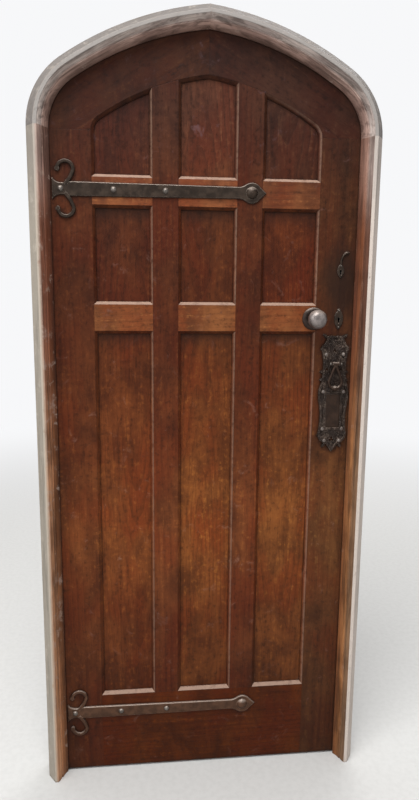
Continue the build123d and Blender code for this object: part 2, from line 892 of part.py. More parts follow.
def keep(foot, head, depth):
    with BuildPart() as box:
        block((keep_left, keep_right), (frame_back, frame_back + depth), (foot, head))
        far_edges = box.faces().sort_by(Axis.Y)[-1].edges().filter_by(Axis.Z)
        fillet(far_edges.sort_by(Axis.X)[-1], radius=keep_corner_radius)
        ears = (foot - keep_ear, head + keep_ear)
        block((keep_left, keep_right), (frame_back, frame_back + keep_wall), ears)
        block(
            (keep_left, keep_right - keep_wall),
            (frame_back + keep_wall, frame_back + depth - keep_wall),
            (foot + keep_wall, head - keep_wall),
            Mode.SUBTRACT,
        )
    return box


lock_keep = keep(lock_foot, lock_head, lock_depth)
upper_keep = keep(upper_foot, upper_head, upper_lock_depth)
keep_screws = [
    ((keep_left + keep_right) / 2, frame_back + keep_wall, z)
    for z in (
        lock_foot - keep_ear / 2,
        lock_head + keep_ear / 2,
        upper_foot - keep_ear / 2,
        upper_head + keep_ear / 2,
    )
]

with BuildPart() as frame_screws:
    for middle in butt_levels.values():
        for place in butt_screw_places(middle, -1):
            wood_screw(place, (-1, 0, 0), dome_height=0)
    for place in keep_screws:
        wood_screw(place, (0, -1, 0))

with BuildPart() as jamb_left:
    mirror(plain_jamb.part, about=Plane.YZ)
    butt_housings(-1)
    take_away(frame_screws.part)

with BuildPart() as jamb_right:
    add(plain_jamb.part)
    take_away(frame_screws.part)

with BuildPart() as hinge_plate_upper_frame:
    add(frame_plates["upper"].part)
    take_away(frame_screws.part)

with BuildPart() as hinge_plate_lower_frame:
    add(frame_plates["lower"].part)
    take_away(frame_screws.part)

with BuildPart() as lock_keep_drilled:
    add(lock_keep.part)
    take_away(frame_screws.part)

with BuildPart() as upper_keep_drilled:
    add(upper_keep.part)
    take_away(frame_screws.part)


def cast_leaf(root, angle, length, width, height):
    """A pointed leaf standing forward of its root. Its angle runs from 0 for rightward to 90 for upward.

    Its belly is the share of its length at which it is widest.
    """
    lean = radians(angle)
    with BuildSketch(Plane(origin=root, x_dir=(cos(lean), 0, sin(lean)), z_dir=(0, -1, 0))) as outline:
        with BuildLine():
            for side in (1, -1):
                ThreePointArc((0, 0), (cast_leaf_belly * length, side * width / 2), (length, 0))
        make_face()
    extrude(outline.sketch, amount=height, taper=cast_leaf_taper)


# Keyhole plates: an oval with a lobe above and below for the main lock, a pointed one for the upper,
# whose top runs out into a bent stem with a leaf
with BuildPart() as keyhole_plate:
    lobe_z = keyhole_plate_height / 2
    with BuildSketch(face_plane(0)):
        with Locations((key_x, lock_z)):
            Ellipse(keyhole_plate_width / 2, keyhole_plate_height / 2)
        with Locations((key_x, lock_z + lobe_z), (key_x, lock_z - lobe_z)):
            Circle(keyhole_plate_lobe)
    extrude(amount=keyhole_plate_thickness)
    chamfer(keyhole_plate.faces().sort_by(Axis.Y)[0].edges(), length=keyhole_plate_bevel)
    keyhole(key_x, lock_z, -keyhole_plate_thickness, 0)

with BuildPart() as upper_keyhole_plate:
    half_small = small_plate_height / 2
    with BuildSketch(face_plane(0)):
        with BuildLine():
            for side in (1, -1):
                ThreePointArc(
                    (key_x, upper_key_z + half_small),
                    (key_x + side * small_plate_width / 2, upper_key_z + small_plate_belly_rise),
                    (key_x, upper_key_z - half_small),
                )
        make_face()
    extrude(amount=keyhole_plate_thickness)
    chamfer(upper_keyhole_plate.faces().sort_by(Axis.Y)[0].edges(), length=keyhole_plate_bevel)
    keyhole(key_x, upper_key_z, -keyhole_plate_thickness, 0)
    stem_foot = (key_x, upper_key_z + half_small - finial_bar_radius)
    stem_head = (key_x + finial_reach / 2, upper_key_z + half_small + finial_rise)
    with BuildLine(face_plane(-finial_bar_radius)) as stem:
        SagittaArc(stem_foot, stem_head, finial_bow)
    with BuildSketch(Plane(origin=stem.line @ 0, z_dir=stem.line % 0)):
        Circle(finial_bar_radius)
    sweep(path=stem.line)
    leaf_root = (stem_head[0] - finial_bar_radius, 0, stem_head[1])
    cast_leaf(leaf_root, finial_leaf_lean, finial_leaf_length, finial_leaf_width, 2 * finial_bar_radius)

plate_pins = [
    (key_x, -keyhole_plate_thickness, lock_z + lobe_z),
    (key_x, -keyhole_plate_thickness, lock_z - lobe_z),
    (key_x, -keyhole_plate_thickness, upper_key_z + small_plate_pin_rise),
]

with BuildPart() as keyhole_pins:
    for place in plate_pins:
        fastener(place, (0, 1, 0), pin_head_radius, pin_head_height, pin_shank_radius, pin_length)

# Letter plate: cast in one piece, with a rim, pierced tracery, knocker lugs and an aperture for the flap
plate_x = (stile_inner + leaf_half) / 2 + plate_shift - leaf_lap / 2
plate_top = lock_rail_bottom - plate_drop
plate_face = -plate_back_thickness
rim_face = plate_face - plate_rim_height
flap_top = plate_top - flap_drop
flap_foot = flap_top - flap_height
flap_half = flap_width / 2
flap_axis_z = flap_top - flap_barrel_radius
flap_face = plate_face + flap_play
flap_axis_y = flap_face + flap_barrel_radius
pivot_z = plate_top - knocker_drop
pivot_y = -knocker_stand_off
strike_z = pivot_z - knocker_loop_fall - knocker_loop_radius


def draw_plate_outline(inset):
    """Cast outline: straight crest, waisted sides, shoulders at the flap, and a pointed foot."""
    foot = -plate_height
    with BuildLine() as outline:
        crest = Line((0, 0), (plate_crest_half, 0))
        shoulder = ThreePointArc(
            crest @ 1,
            (plate_hip_half, -plate_hip_drop),
            (plate_shoulder_half, -plate_shoulder_drop),
        )
        waist = ThreePointArc(
            shoulder @ 1,
            (plate_waist_half, -plate_waist_drop),
            (plate_half_width, plate_cheek_rise - flap_drop),
        )
        cheek = Line(waist @ 1, (plate_half_width, -flap_drop - plate_cheek_fall))
        skirt = ThreePointArc(
            cheek @ 1,
            (plate_girth_half, -flap_drop - plate_girth_fall),
            (plate_skirt_half, foot + plate_skirt_rise),
        )
        heel = ThreePointArc(
            skirt @ 1,
            (plate_heel_half, foot + plate_heel_rise),
            (plate_toe_half, foot + plate_toe_rise),
        )
        ThreePointArc(heel @ 1, (plate_tip_half, foot + plate_tip_rise), (0, foot))
        mirror(outline.line, about=Plane.YZ)
    make_face(outline.edges())
    if inset:
        offset(amount=-inset, kind=Kind.INTERSECTION, mode=Mode.REPLACE)


def plate_plane(depth):
    """A plane across the plate, with its origin at the middle of the plate's crest."""
    return Plane(origin=(plate_x, depth, plate_top), x_dir=(1, 0, 0), z_dir=(0, -1, 0))


def plate_leaf(side, across, down, angle, length, width, raised=True):
    """A leaf on one side of the plate, raised on its face, or as thick as the whole plate at its edge."""
    foot = plate_face if raised else 0
    height = plate_leaf_height if raised else plate_back_thickness + plate_rim_height
    root = (plate_x + side * across, foot, plate_top - down)
    cast_leaf(root, angle if side > 0 else 180 - angle, length, width, height)


def plate_scroll(side, across, down, radius, start):
    """A rib that curls inward through two arcs to a ball. Its start is the angle on the right-hand side."""
    turn = plate_scroll_turn
    inner_radius = plate_scroll_curl * radius
    bend = radians(start + turn / 2)
    inner_across = across + (radius - inner_radius) * cos(bend)
    inner_rise = -down + (radius - inner_radius) * sin(bend)

    def on_arc(middle_across, middle_rise, reach, share):
        angle = radians(start + share * turn)
        return (side * (middle_across + reach * cos(angle)), middle_rise + reach * sin(angle))

    with BuildLine(plate_plane(plate_face)) as path:
        ThreePointArc(*(on_arc(across, -down, radius, share) for share in (0, 0.25, 0.5)))
        ThreePointArc(*(on_arc(inner_across, inner_rise, inner_radius, share) for share in (0.5, 0.75, 1)))
    with BuildSketch(Plane(origin=path.line @ 0, z_dir=path.line % 0)) as section:
        Circle(plate_rib_radius)
    sweep(section.sketch, path=path.line)
    with Locations(path.line @ 1):
        Sphere(plate_ball_radius)


def trefoil(radius):
    """Three round lobes about a centre, one of them upward."""
    lobe_reach, lobe_radius, heart_radius = 0.75 * radius, 0.62 * radius, 0.5 * radius
    with PolarLocations(lobe_reach, 3, start_angle=90):
        Circle(lobe_radius)
    Circle(heart_radius)


plate_screw_places = [
    (plate_x + side * across, rim_face, plate_top - down)
    for side in (-1, 1)
    for across, down in (
        (23.2, plate_screw_drop),
        (27.2, flap_drop - screw_above_flap),
        (26.4, flap_drop + flap_height + screw_below_flap),
        (20.0, plate_height - plate_screw_rise),
    )
]

# Ornament of the letter plate: places are (across, down) from the middle of its crest, and a leaf then has
# its angle, length and width. What stands off the middle is on both sides.
plate_scrolls = ((11.5, 19.0, 7.5, 200.0), (14.0, plate_height - 47.5, 6.5, 160.0))
plate_edge_leaves = (
    (17.0, 7.0, 35.0, 20.0, 9.0),
    (28.0, 32.0, -20.0, 12.0, 8.0),
    (25.0, 96.0, 8.0, 14.0, 8.0),
    (26.0, 112.0, -25.0, 14.0, 8.0),
    (32.0, plate_height - 48.0, -40.0, 10.0, 8.0),
    (15.0, plate_height - 28.0, -55.0, 21.0, 9.0),
)
plate_face_leaves = ((23.0, 57.0, -100.0, 18.0, 7.0), (27.0, flap_drop - 12.0, 100.0, 20.0, 8.0))
plate_crest_leaf = (0.0, 25.0, 90.0, 16.0, 8.0)
plate_foot_leaf = (0.0, plate_height - 26.0, -90.0, 26.0, 12.0)
plate_piercings = ((0.0, 38.0), (19.0, 88.0), (-19.0, 88.0))

with BuildPart() as letter_plate:
    with BuildSketch(plate_plane(0)):
        draw_plate_outline(0)
    extrude(amount=plate_back_thickness)
    with BuildSketch(plate_plane(plate_face)):
        draw_plate_outline(0)
        with BuildSketch(plate_plane(plate_face), mode=Mode.SUBTRACT):
            draw_plate_outline(plate_rim_width)
    extrude(amount=plate_rim_height)
    with BuildSketch(plate_plane(plate_face)):
        with Locations((0, -flap_drop - flap_height / 2)):
            Rectangle(flap_width + 2 * flap_lip, flap_height + 2 * flap_lip)
    extrude(amount=plate_rim_height)
    for place in plate_screw_places:
        with BuildSketch(Plane(origin=(place[0], plate_face, place[2]), x_dir=(1, 0, 0), z_dir=(0, -1, 0))):
            Circle(screw_head_radius + plate_boss_rim)
        extrude(amount=plate_rim_height)
    for side in (-1, 1):
        for ornament in plate_scrolls:
            plate_scroll(side, *ornament)
        for leaf in plate_edge_leaves:
            plate_leaf(side, *leaf, raised=False)
        for leaf in plate_face_leaves:
            plate_leaf(side, *leaf)
    plate_leaf(1, *plate_crest_leaf)
    plate_leaf(1, *plate_foot_leaf, raised=False)
    with BuildSketch(plate_plane(0)):
        with Locations((0, -flap_drop - flap_height / 2)):
            Rectangle(flap_width + 2 * flap_gap, flap_height + 2 * flap_gap)
    extrude(amount=plate_back_thickness, mode=Mode.SUBTRACT)
    with BuildSketch(plate_plane(plate_face)):
        with Locations((0, -flap_drop - flap_height / 2)):
            Rectangle(flap_width - 2 * flap_lip, flap_height - 2 * flap_lip)
    extrude(amount=plate_rim_height, mode=Mode.SUBTRACT)
    with BuildSketch(plate_plane(0)):
        for across, down in plate_piercings:
            with Locations((across, -down)):
                trefoil(tracery_radius)
        with Locations((0, foot_tracery_rise - plate_height)):
            trefoil(foot_tracery_radius)
    extrude(amount=plate_back_thickness + plate_rim_height, mode=Mode.SUBTRACT)
    for side in (-1, 1):
        lug_inner = knocker_barrel_length / 2 + knocker_side_gap
        lug_middle = plate_x + side * (lug_inner + knocker_lug_thickness / 2)
        with BuildSketch(Plane(origin=(lug_middle, 0, pivot_z), x_dir=(0, 1, 0), z_dir=(1, 0, 0))):
            with BuildLine():
                lug_radius = knocker_barrel_radius
                ThreePointArc((pivot_y, lug_radius), (pivot_y - lug_radius, 0), (pivot_y, -lug_radius))
                Polyline(
                    (pivot_y, -lug_radius),
                    (plate_face, -knocker_lug_half_foot),
                    (plate_face, knocker_lug_half_foot),
                    (pivot_y, lug_radius),
                )
            make_face()
            with Locations((pivot_y, 0)):
                Circle(knocker_pin_radius, mode=Mode.SUBTRACT)
        extrude(amount=knocker_lug_thickness / 2, both=True)
    with BuildSketch(Plane(origin=(plate_x, plate_face, strike_z), x_dir=(1, 0, 0), z_dir=(0, -1, 0))):
        Circle(strike_radius)
    strike_reach = knocker_stand_off - knocker_ball_radius - strike_gap - plate_back_thickness
    extrude(amount=strike_reach, taper=strike_taper)
    pin_reach = flap_half + flap_gap + flap_pin_bite
    with BuildSketch(Plane(origin=(plate_x, flap_axis_y, flap_axis_z), x_dir=(0, 1, 0), z_dir=(1, 0, 0))):
        Circle(flap_pin_radius)
    extrude(amount=pin_reach, both=True, mode=Mode.SUBTRACT)

with BuildPart() as flap_pin:
    with BuildSketch(Plane(origin=(plate_x, flap_axis_y, flap_axis_z), x_dir=(0, 1, 0), z_dir=(1, 0, 0))):
        Circle(flap_pin_radius)
    extrude(amount=pin_reach, both=True)

with BuildPart() as letter_flap:
    with BuildSketch(Plane(origin=(plate_x, 0, flap_axis_z), x_dir=(0, 1, 0), z_dir=(1, 0, 0))):
        with BuildLine():
            flap_fall = flap_axis_z - flap_foot
            Polyline(
                (flap_face, 0),
                (flap_face, -flap_fall + flap_edge_bevel),
                (flap_face + flap_edge_bevel, -flap_fall),
                (flap_face + flap_thickness, -flap_fall),
                (flap_face + flap_thickness, 0),
                close=True,
            )
        make_face()
        with Locations((flap_axis_y, 0)):
            Circle(flap_barrel_radius)
            Circle(flap_pin_radius + flap_pin_clearance, mode=Mode.SUBTRACT)
    extrude(amount=flap_half, both=True)

with BuildPart() as knocker_pin:
    knocker_pin_half = lug_inner + knocker_lug_thickness + knocker_pin_end
    with BuildSketch(Plane(origin=(plate_x, pivot_y, pivot_z), x_dir=(0, 1, 0), z_dir=(1, 0, 0))):
        Circle(knocker_pin_radius)
    extrude(amount=knocker_pin_half, both=True)
    for side in (-1, 1):
        end_x = plate_x + side * (lug_inner + knocker_lug_thickness)
        with BuildSketch(Plane(origin=(end_x, pivot_y, pivot_z), x_dir=(0, 1, 0), z_dir=(side, 0, 0))):
            Circle(knocker_pin_radius + knocker_pin_head_rim)
        extrude(amount=knocker_pin_head_length)

with BuildPart() as knocker:
    loop_fall = knocker_loop_fall
    touch = asin(knocker_loop_radius / loop_fall)
    touch_x = knocker_loop_radius * cos(touch)
    touch_z = -loop_fall + knocker_loop_radius * sin(touch)
    pivot_plane = Plane(origin=(plate_x, pivot_y, pivot_z), x_dir=(1, 0, 0), z_dir=(0, -1, 0))
    with BuildLine(pivot_plane) as bow:
        ThreePointArc((-touch_x, touch_z), (0, -loop_fall - knocker_loop_radius), (touch_x, touch_z))
    with BuildSketch(Plane(origin=bow.line @ 0, z_dir=bow.line % 0)):
        Circle(knocker_bar_radius)
    sweep(path=bow.line)
    for end in (bow.line @ 0, bow.line @ 1):
        rise = Vector(*pivot_plane.origin) - end
        with BuildSketch(Plane(origin=end, z_dir=rise)):
            Circle(knocker_bar_radius)
        extrude(amount=rise.length)
    with BuildSketch(Plane(origin=(plate_x, pivot_y, pivot_z), x_dir=(0, 1, 0), z_dir=(1, 0, 0))):
        Circle(knocker_barrel_radius)
    extrude(amount=knocker_barrel_length / 2, both=True)
    with BuildSketch(Plane(origin=(plate_x, pivot_y, strike_z), x_dir=(0, 1, 0), z_dir=(1, 0, 0))):
        with BuildLine():
            ThreePointArc((0, knocker_ball_radius), (-knocker_ball_radius, 0), (0, -knocker_ball_radius))
            Line((0, -knocker_ball_radius), (0, knocker_ball_radius))
        make_face()
    revolve(axis=Axis((plate_x, pivot_y, strike_z), (0, 0, 1)))
    with BuildSketch(Plane(origin=(plate_x, pivot_y, pivot_z), x_dir=(0, 1, 0), z_dir=(1, 0, 0))):
        Circle(knocker_pin_radius + knocker_pin_clearance)
    extrude(amount=knocker_barrel_length, both=True, mode=Mode.SUBTRACT)

# Straps: a tapered band with a round boss and a pointed tip, and two scrolls curling back at the root
strap_left = -half_opening + strap_root_gap
boss_x = strap_left + strap_length - strap_boss_inset
stud_places = [strap_left + first_stud_inset + index * stud_spacing for index in range(stud_count)]


def scroll(level, side):
    """A tapering C-shaped bar, rising from the band and curling back towards the root."""
    middle_x = strap_left + scroll_offset
    middle_z = level + side * scroll_rise
    foot = (middle_x - scroll_foot_back, level + side * scroll_foot_rise)
    flank = (middle_x + scroll_radius, middle_z)
    crest = (middle_x, middle_z + side * scroll_radius)
    curl = (middle_x - scroll_radius, middle_z + side * scroll_tip_rise)
    diagonal = scroll_radius * sqrt(0.5)
    with BuildLine(face_plane(-scroll_bar_thickness / 2)) as path:
        rise = ThreePointArc(foot, (middle_x + scroll_bow_reach, middle_z - side * scroll_bow_reach), flank)
        top = ThreePointArc(rise @ 1, (middle_x + diagonal, middle_z + side * diagonal), crest)
        ThreePointArc(top @ 1, (middle_x - diagonal, middle_z + side * diagonal), curl)
    with BuildSketch(Plane(origin=path.line @ 0, x_dir=(0, 1, 0), z_dir=path.line % 0)) as section:
        RectangleRounded(scroll_bar_thickness, scroll_bar_width, scroll_edge_radius)
    sweep(section.sketch, path=path.line)
    round_bore(curl[0], curl[1], scroll_ball_radius, -scroll_bar_thickness, 0, Mode.ADD)


def strap(level):
    """A band that flares at its root, narrows to a neck and widens round its boss, with a pointed tip."""
    root, end = strap_root_width / 2, strap_end_width / 2

    def on_band(reach, height):
        return (strap_left + reach, level + side * height)

    def on_boss(angle):
        turn = radians(angle)
        return (boss_x + strap_boss_radius * cos(turn), level + side * strap_boss_radius * sin(turn))

    with BuildPart() as band:
        with BuildSketch(face_plane(0)):
            with BuildLine():
                for side in (1, -1):
                    flare = ThreePointArc(
                        on_band(0, strap_flare_half),
                        on_band(*strap_flare_bow),
                        on_band(*strap_waist),
                    )
                    spread = Line(flare @ 1, on_band(strap_shoulder_reach, root))
                    taper = Line(spread @ 1, (boss_x - strap_neck_reach, level + side * end))
                    rise = ThreePointArc(
                        taper @ 1,
                        (boss_x - strap_neck_bow[0], level + side * (end + strap_neck_bow[1])),
                        on_boss(strap_boss_root_angle),
                    )
                    bow = ThreePointArc(rise @ 1, on_boss(90), on_boss(strap_boss_tip_angle))
                    Line(bow @ 1, on_band(strap_length, 0))
                Line((strap_left, level - strap_flare_half), (strap_left, level + strap_flare_half))
            make_face()
        extrude(amount=strap_thickness)
        chamfer(band.faces().sort_by(Axis.Y)[0].edges(), length=strap_bevel)
        with BuildSketch(Plane(origin=(boss_x, -strap_thickness, level), x_dir=(1, 0, 0), z_dir=(0, 0, -1))):
            with BuildLine():
                middle = dome_middle(boss_dome_radius, boss_dome_height)
                ThreePointArc((0, boss_dome_height), middle, (boss_dome_radius, 0))
                Polyline((boss_dome_radius, 0), (0, 0), (0, boss_dome_height))
            make_face()
        revolve(axis=Axis((boss_x, 0, level), (0, 1, 0)))
        for side in (1, -1):
            scroll(level, side)
    return band


with BuildPart() as strap_studs:
    for level in (upper_strap_z, lower_strap_z):
        for stud_x in stud_places:
            place = (stud_x, -strap_thickness, level)
            fastener(place, (0, 1, 0), stud_radius, stud_height, stud_shank_radius, stud_shank_length)

upper_band = strap(upper_strap_z)
lower_band = strap(lower_strap_z)

with BuildPart() as upper_strap:
    add(upper_band.part)
    take_away(strap_studs.part)

with BuildPart() as lower_strap:
    add(lower_band.part)
    take_away(strap_studs.part)

# Screws of the leaf, and the iron that they pass through
with BuildPart() as leaf_screws:
    for middle in butt_levels.values():
        for place in butt_screw_places(middle, 1):
            wood_screw(place, (1, 0, 0), dome_height=0)
    for place in lock_screws + upper_lock_screws:
        wood_screw(place, (0, -1, 0))
    for place in plate_screw_places:
        wood_screw(place, (0, 1, 0))

drilled = {
    "hinge_plate_upper_leaf": leaf_plates["upper"],
    "hinge_plate_lower_leaf": leaf_plates["lower"],
    "lock_plate": lock_plate,
    "upper_lock_case": upper_lock_case,
    "letter_plate": letter_plate,
}
for name, piece in drilled.items():
    with BuildPart() as drilled_piece:
        add(piece.part)
        take_away(leaf_screws.part)
    write(drilled_piece, name)

for name, piece in (("keyhole_plate", keyhole_plate), ("upper_keyhole_plate", upper_keyhole_plate)):
    with BuildPart() as pinned_piece:
        add(piece.part)
        take_away(keyhole_pins.part)
    write(pinned_piece, name)


def bore_leaf():
    """Holes through the leaf for the spindle, the keys and the letters."""
    round_bore(knob_x, lock_z, spindle_bore_radius, 0, leaf_thickness)
    for middle, radius in ((lock_z, key_bore_radius), (upper_key_z, upper_key_bore_radius)):
        round_bore(key_x, middle - keyhole_drop / 3, radius, 0, leaf_thickness)
    block(
        (plate_x - flap_half - flap_gap, plate_x + flap_half + flap_gap),
        (0, leaf_thickness),
        (flap_foot - flap_gap, flap_top + flap_gap),
        Mode.SUBTRACT,
    )


# Rails between the uprights, each with a stub tenon into its neighbour on both sides
def short_rail(column, foot, head, rows):
    left, right = column_edges[column]
    tenon_left = left - stub_tenon_length
    tenon_right = right + stub_tenon_length
    with BuildPart() as rail:
        block((left, right), (0, leaf_thickness), (foot, head))
        tenon_height = (foot + tenon_shoulder, head - tenon_shoulder)
        block((tenon_left, tenon_right), (tenon_front, tenon_back), tenon_height)
        take_away(*(lights[column, row] for row in rows))
        take_away(strap_studs.part)
        if column == "right":
            bore_leaf()
            take_away(leaf_screws.part)
    return rail


lock_rails = {
    column: short_rail(column, lock_rail_bottom, lock_rail_top, ("lower", "middle"))
    for column in column_edges
}
hinge_rails = {
    column: short_rail(column, hinge_rail_bottom, hinge_rail_top, ("middle", "top"))
    for column in column_edges
}


def upright_top(side, inner_x, outer_x, offset):
    """Foot-to-arch outline of an upright that ends under the curved head."""
    with BuildLine() as outline:
        crown_arc(side, inner_x, outer_x, offset)
        Polyline(
            (side * outer_x, crown_height(outer_x, offset)),
            (side * outer_x, bottom_rail_top),
            (side * inner_x, bottom_rail_top),
            (side * inner_x, crown_height(inner_x, offset)),
        )
    make_face(outline.edges())


def muntin(side):
    """A long upright through both rails, tenoned into the bottom rail and the head."""
    near = "right" if side > 0 else "left"
    arch_foot = crown_height(muntin_outer, inner_offset)
    with BuildPart() as upright:
        with BuildSketch(face_plane(0)):
            upright_top(side, muntin_inner, muntin_outer, inner_offset - scribe_gap)
        extrude(amount=-leaf_thickness)
        tenon_edges = sorted(side * x for x in (muntin_inner + tenon_shoulder, muntin_outer - tenon_shoulder))
        block(
            tenon_edges,
            (tenon_front, tenon_back),
            (bottom_rail_top - stub_tenon_length, arch_foot + stub_tenon_length),
        )
        for column in (near, "centre"):
            take_away(*(lights[column, row] for row in ("lower", "middle", "top")))
            take_away(lock_rails[column].part, hinge_rails[column].part)
        take_away(strap_studs.part)
    return upright


muntins = {"left": muntin(-1), "right": muntin(1)}

with BuildPart() as bottom_rail:
    block((-stile_inner, stile_inner), (0, leaf_thickness), (leaf_bottom, bottom_rail_top))
    block(
        (-stile_inner - long_tenon_length, stile_inner + long_tenon_length),
        (tenon_front, tenon_back),
        (leaf_bottom + bottom_tenon_haunch, bottom_rail_top - tenon_shoulder),
    )
    take_away(*(lights[column, "lower"] for column in column_edges))
    take_away(muntins["left"].part, muntins["right"].part)
    take_away(strap_studs.part)


def stile(side):
    """An outer upright from the foot of the leaf to the springing, with a tenon up into the head."""
    near = "right" if side > 0 else "left"
    edges = sorted((side * stile_inner, side * leaf_half))
    tenon_edges = sorted(side * x for x in (stile_inner + stile_tenon_inset, leaf_half - stile_tenon_inset))
    with BuildPart() as upright:
        block(edges, (0, leaf_thickness), (leaf_bottom, springing_height))
        block(
            tenon_edges,
            (tenon_front, tenon_back),
            (springing_height - tenon_shoulder, springing_height + head_tenon_length),
        )
        take_away(*(lights[near, row] for row in ("lower", "middle", "top")))
        take_away(bottom_rail.part, lock_rails[near].part, hinge_rails[near].part)
        take_away(leaf_screws.part)
        if side > 0:
            bore_leaf()
            take_away(keyhole_pins.part)
        else:
            butt_housings(1)
            take_away(strap_studs.part)
    return upright


stiles = {"left": stile(-1), "right": stile(1)}

leaf_apex_top = crown_height(0, leaf_lap)
leaf_apex_foot = crown_height(0, inner_offset)


def head_rail(side):
    """Half of the curved head, from a stile's top to the joint at the crown."""
    near = "right" if side > 0 else "left"
    outer_shoulder = abs(shoulder_point(side, shoulder_tilt, leaf_lap)[0])
    inner_shoulder = abs(shoulder_point(side, shoulder_tilt, inner_offset)[0])
    with BuildPart() as rail:
        with BuildSketch(face_plane(0)):
            with BuildLine():
                crown_arc(side, 0, outer_shoulder, leaf_lap)
                shoulder_arc(side, leaf_lap)
                Line((side * leaf_half, springing_height), (side * stile_inner, springing_height))
                shoulder_arc(side, inner_offset)
                crown_arc(side, inner_shoulder, 0, inner_offset)
                Line((0, leaf_apex_foot), (0, leaf_apex_top))
            make_face()
        extrude(amount=-leaf_thickness)
        take_away(lights[near, "top"], lights["centre", "top"])
        take_away(stiles[near].part, muntins[near].part)
    return rail


head_rails = {"left": head_rail(-1), "right": head_rail(1)}


def panel(column, row):
    """A flat panel held in its groove. It stands on the groove's foot and has room at the other edges."""
    with BuildPart() as board:
        with BuildSketch(face_plane(panel_recess)):
            draw_light(column, row, panel_inset, groove_inset)
        extrude(amount=-panel_thickness)
    return board


for column in column_edges:
    write(lock_rails[column], f"lock_rail_{column}")
    write(hinge_rails[column], f"hinge_rail_{column}")
    for row in ("lower", "middle", "top"):
        write(panel(column, row), f"panel_{row}_{column}")
for side in ("left", "right"):
    write(muntins[side], f"muntin_{side}")
    write(head_rails[side], f"head_rail_{side}")

write(jamb_left, "jamb_left")
write(jamb_right, "jamb_right")
write(frame_head_left, "frame_head_left")
write(frame_head_right, "frame_head_right")
write(frame_crown_key, "frame_crown_key")
write(frame_screws, "frame_screws")
write(hinge_plate_upper_frame, "hinge_plate_upper_frame")
write(hinge_plate_lower_frame, "hinge_plate_lower_frame")
write(hinge_pins, "hinge_pins")
write(lock_keep_drilled, "lock_keep")
write(upper_keep_drilled, "upper_keep")
write(stiles["left"], "hinge_stile")
write(stiles["right"], "lock_stile")
write(bottom_rail, "bottom_rail")
write(upper_strap, "upper_strap")
write(lower_strap, "lower_strap")
write(strap_studs, "strap_studs")
write(leaf_screws, "leaf_screws")
write(lock_case, "lock_case")
write(latch_spring, "latch_spring")
write(outer_rose, "outer_rose")
write(keyhole_pins, "keyhole_pins")
write(flap_pin, "flap_pin")
write(knocker_pin, "knocker_pin")
write(lock_follower, "lock_follower")
write(spindle, "spindle")
write(outer_knob, "outer_knob")
write(inner_knob, "inner_knob")
write(latch_bolt, "latch_bolt")
write(dead_bolt, "dead_bolt")
write(upper_bolt, "upper_bolt")
write(letter_flap, "letter_flap")
write(knocker, "knocker")
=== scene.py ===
from math import atan2, cos, pi, radians, sin

import bpy
from mathutils import Matrix, Vector


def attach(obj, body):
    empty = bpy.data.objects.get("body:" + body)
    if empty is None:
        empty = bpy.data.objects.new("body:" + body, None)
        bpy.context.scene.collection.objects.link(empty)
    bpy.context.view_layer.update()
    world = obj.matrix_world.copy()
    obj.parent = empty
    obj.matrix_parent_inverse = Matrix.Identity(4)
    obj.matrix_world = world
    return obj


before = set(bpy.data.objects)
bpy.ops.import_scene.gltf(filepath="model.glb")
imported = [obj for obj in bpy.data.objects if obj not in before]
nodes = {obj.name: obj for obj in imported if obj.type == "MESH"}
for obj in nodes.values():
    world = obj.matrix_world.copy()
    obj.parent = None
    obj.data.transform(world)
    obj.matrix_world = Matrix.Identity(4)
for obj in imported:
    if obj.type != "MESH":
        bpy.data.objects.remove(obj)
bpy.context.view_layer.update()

# An arched oak door in its frame. Metres, in the part's own frame: X across the opening with the lock side
# at +X, the leaf's front face at y = 0 with the room behind it, and Z up from the floor.


def add_object(name, data):
    """A new object in the scene, from the data of a mesh, a camera or a lamp."""
    new_object = bpy.data.objects.new(name, data)
    bpy.context.scene.collection.objects.link(new_object)
    return new_object


def add_mesh(name, vertices, faces, material):
    mesh = bpy.data.meshes.new(name)
    mesh.from_pydata(vertices, [], faces)
    mesh.materials.append(material)
    return add_object(name, mesh)


# Camera: the photograph's viewing angle, as a plain pinhole of its focal length. The photograph is upright,
# so the sensor's size is that of its height.
PHOTO_HEIGHT = 800
FOCAL_PIXELS = 642.3
SENSOR = 36.0
CAMERA_PLACE = Vector((-0.1692, -1.6379, 1.3392))
CAMERA_YAW = radians(6.19)
CAMERA_PITCH = radians(9.80)
CAMERA_ROLL = radians(0.56)
CAMERA_REACH = 100.0


def make_camera():
    """A camera turned to the right by the yaw and tilted down by the pitch."""
    forward = Vector((
        sin(CAMERA_YAW) * cos(CAMERA_PITCH),
        cos(CAMERA_YAW) * cos(CAMERA_PITCH),
        -sin(CAMERA_PITCH),
    ))
    level_right = Vector((cos(CAMERA_YAW), -sin(CAMERA_YAW), 0))
    level_up = level_right.cross(forward)
    right = level_right * cos(CAMERA_ROLL) + level_up * sin(CAMERA_ROLL)
    up = level_up * cos(CAMERA_ROLL) - level_right * sin(CAMERA_ROLL)
    data = bpy.data.cameras.new("camera")
    data.sensor_width = SENSOR
    data.lens = FOCAL_PIXELS / PHOTO_HEIGHT * SENSOR
    data.clip_end = CAMERA_REACH
    camera = add_object("camera", data)
    turn = Matrix((right, up, -forward)).transposed().to_4x4()
    camera.matrix_world = Matrix.Translation(CAMERA_PLACE) @ turn
    bpy.context.scene.camera = camera


# The colour sockets of a Mix node, and the rays of a Bevel or Ambient Occlusion node
MIX_FACTOR, MIX_FIRST, MIX_SECOND, MIX_RESULT = 0, 6, 7, 2
EDGE_RAYS = 6


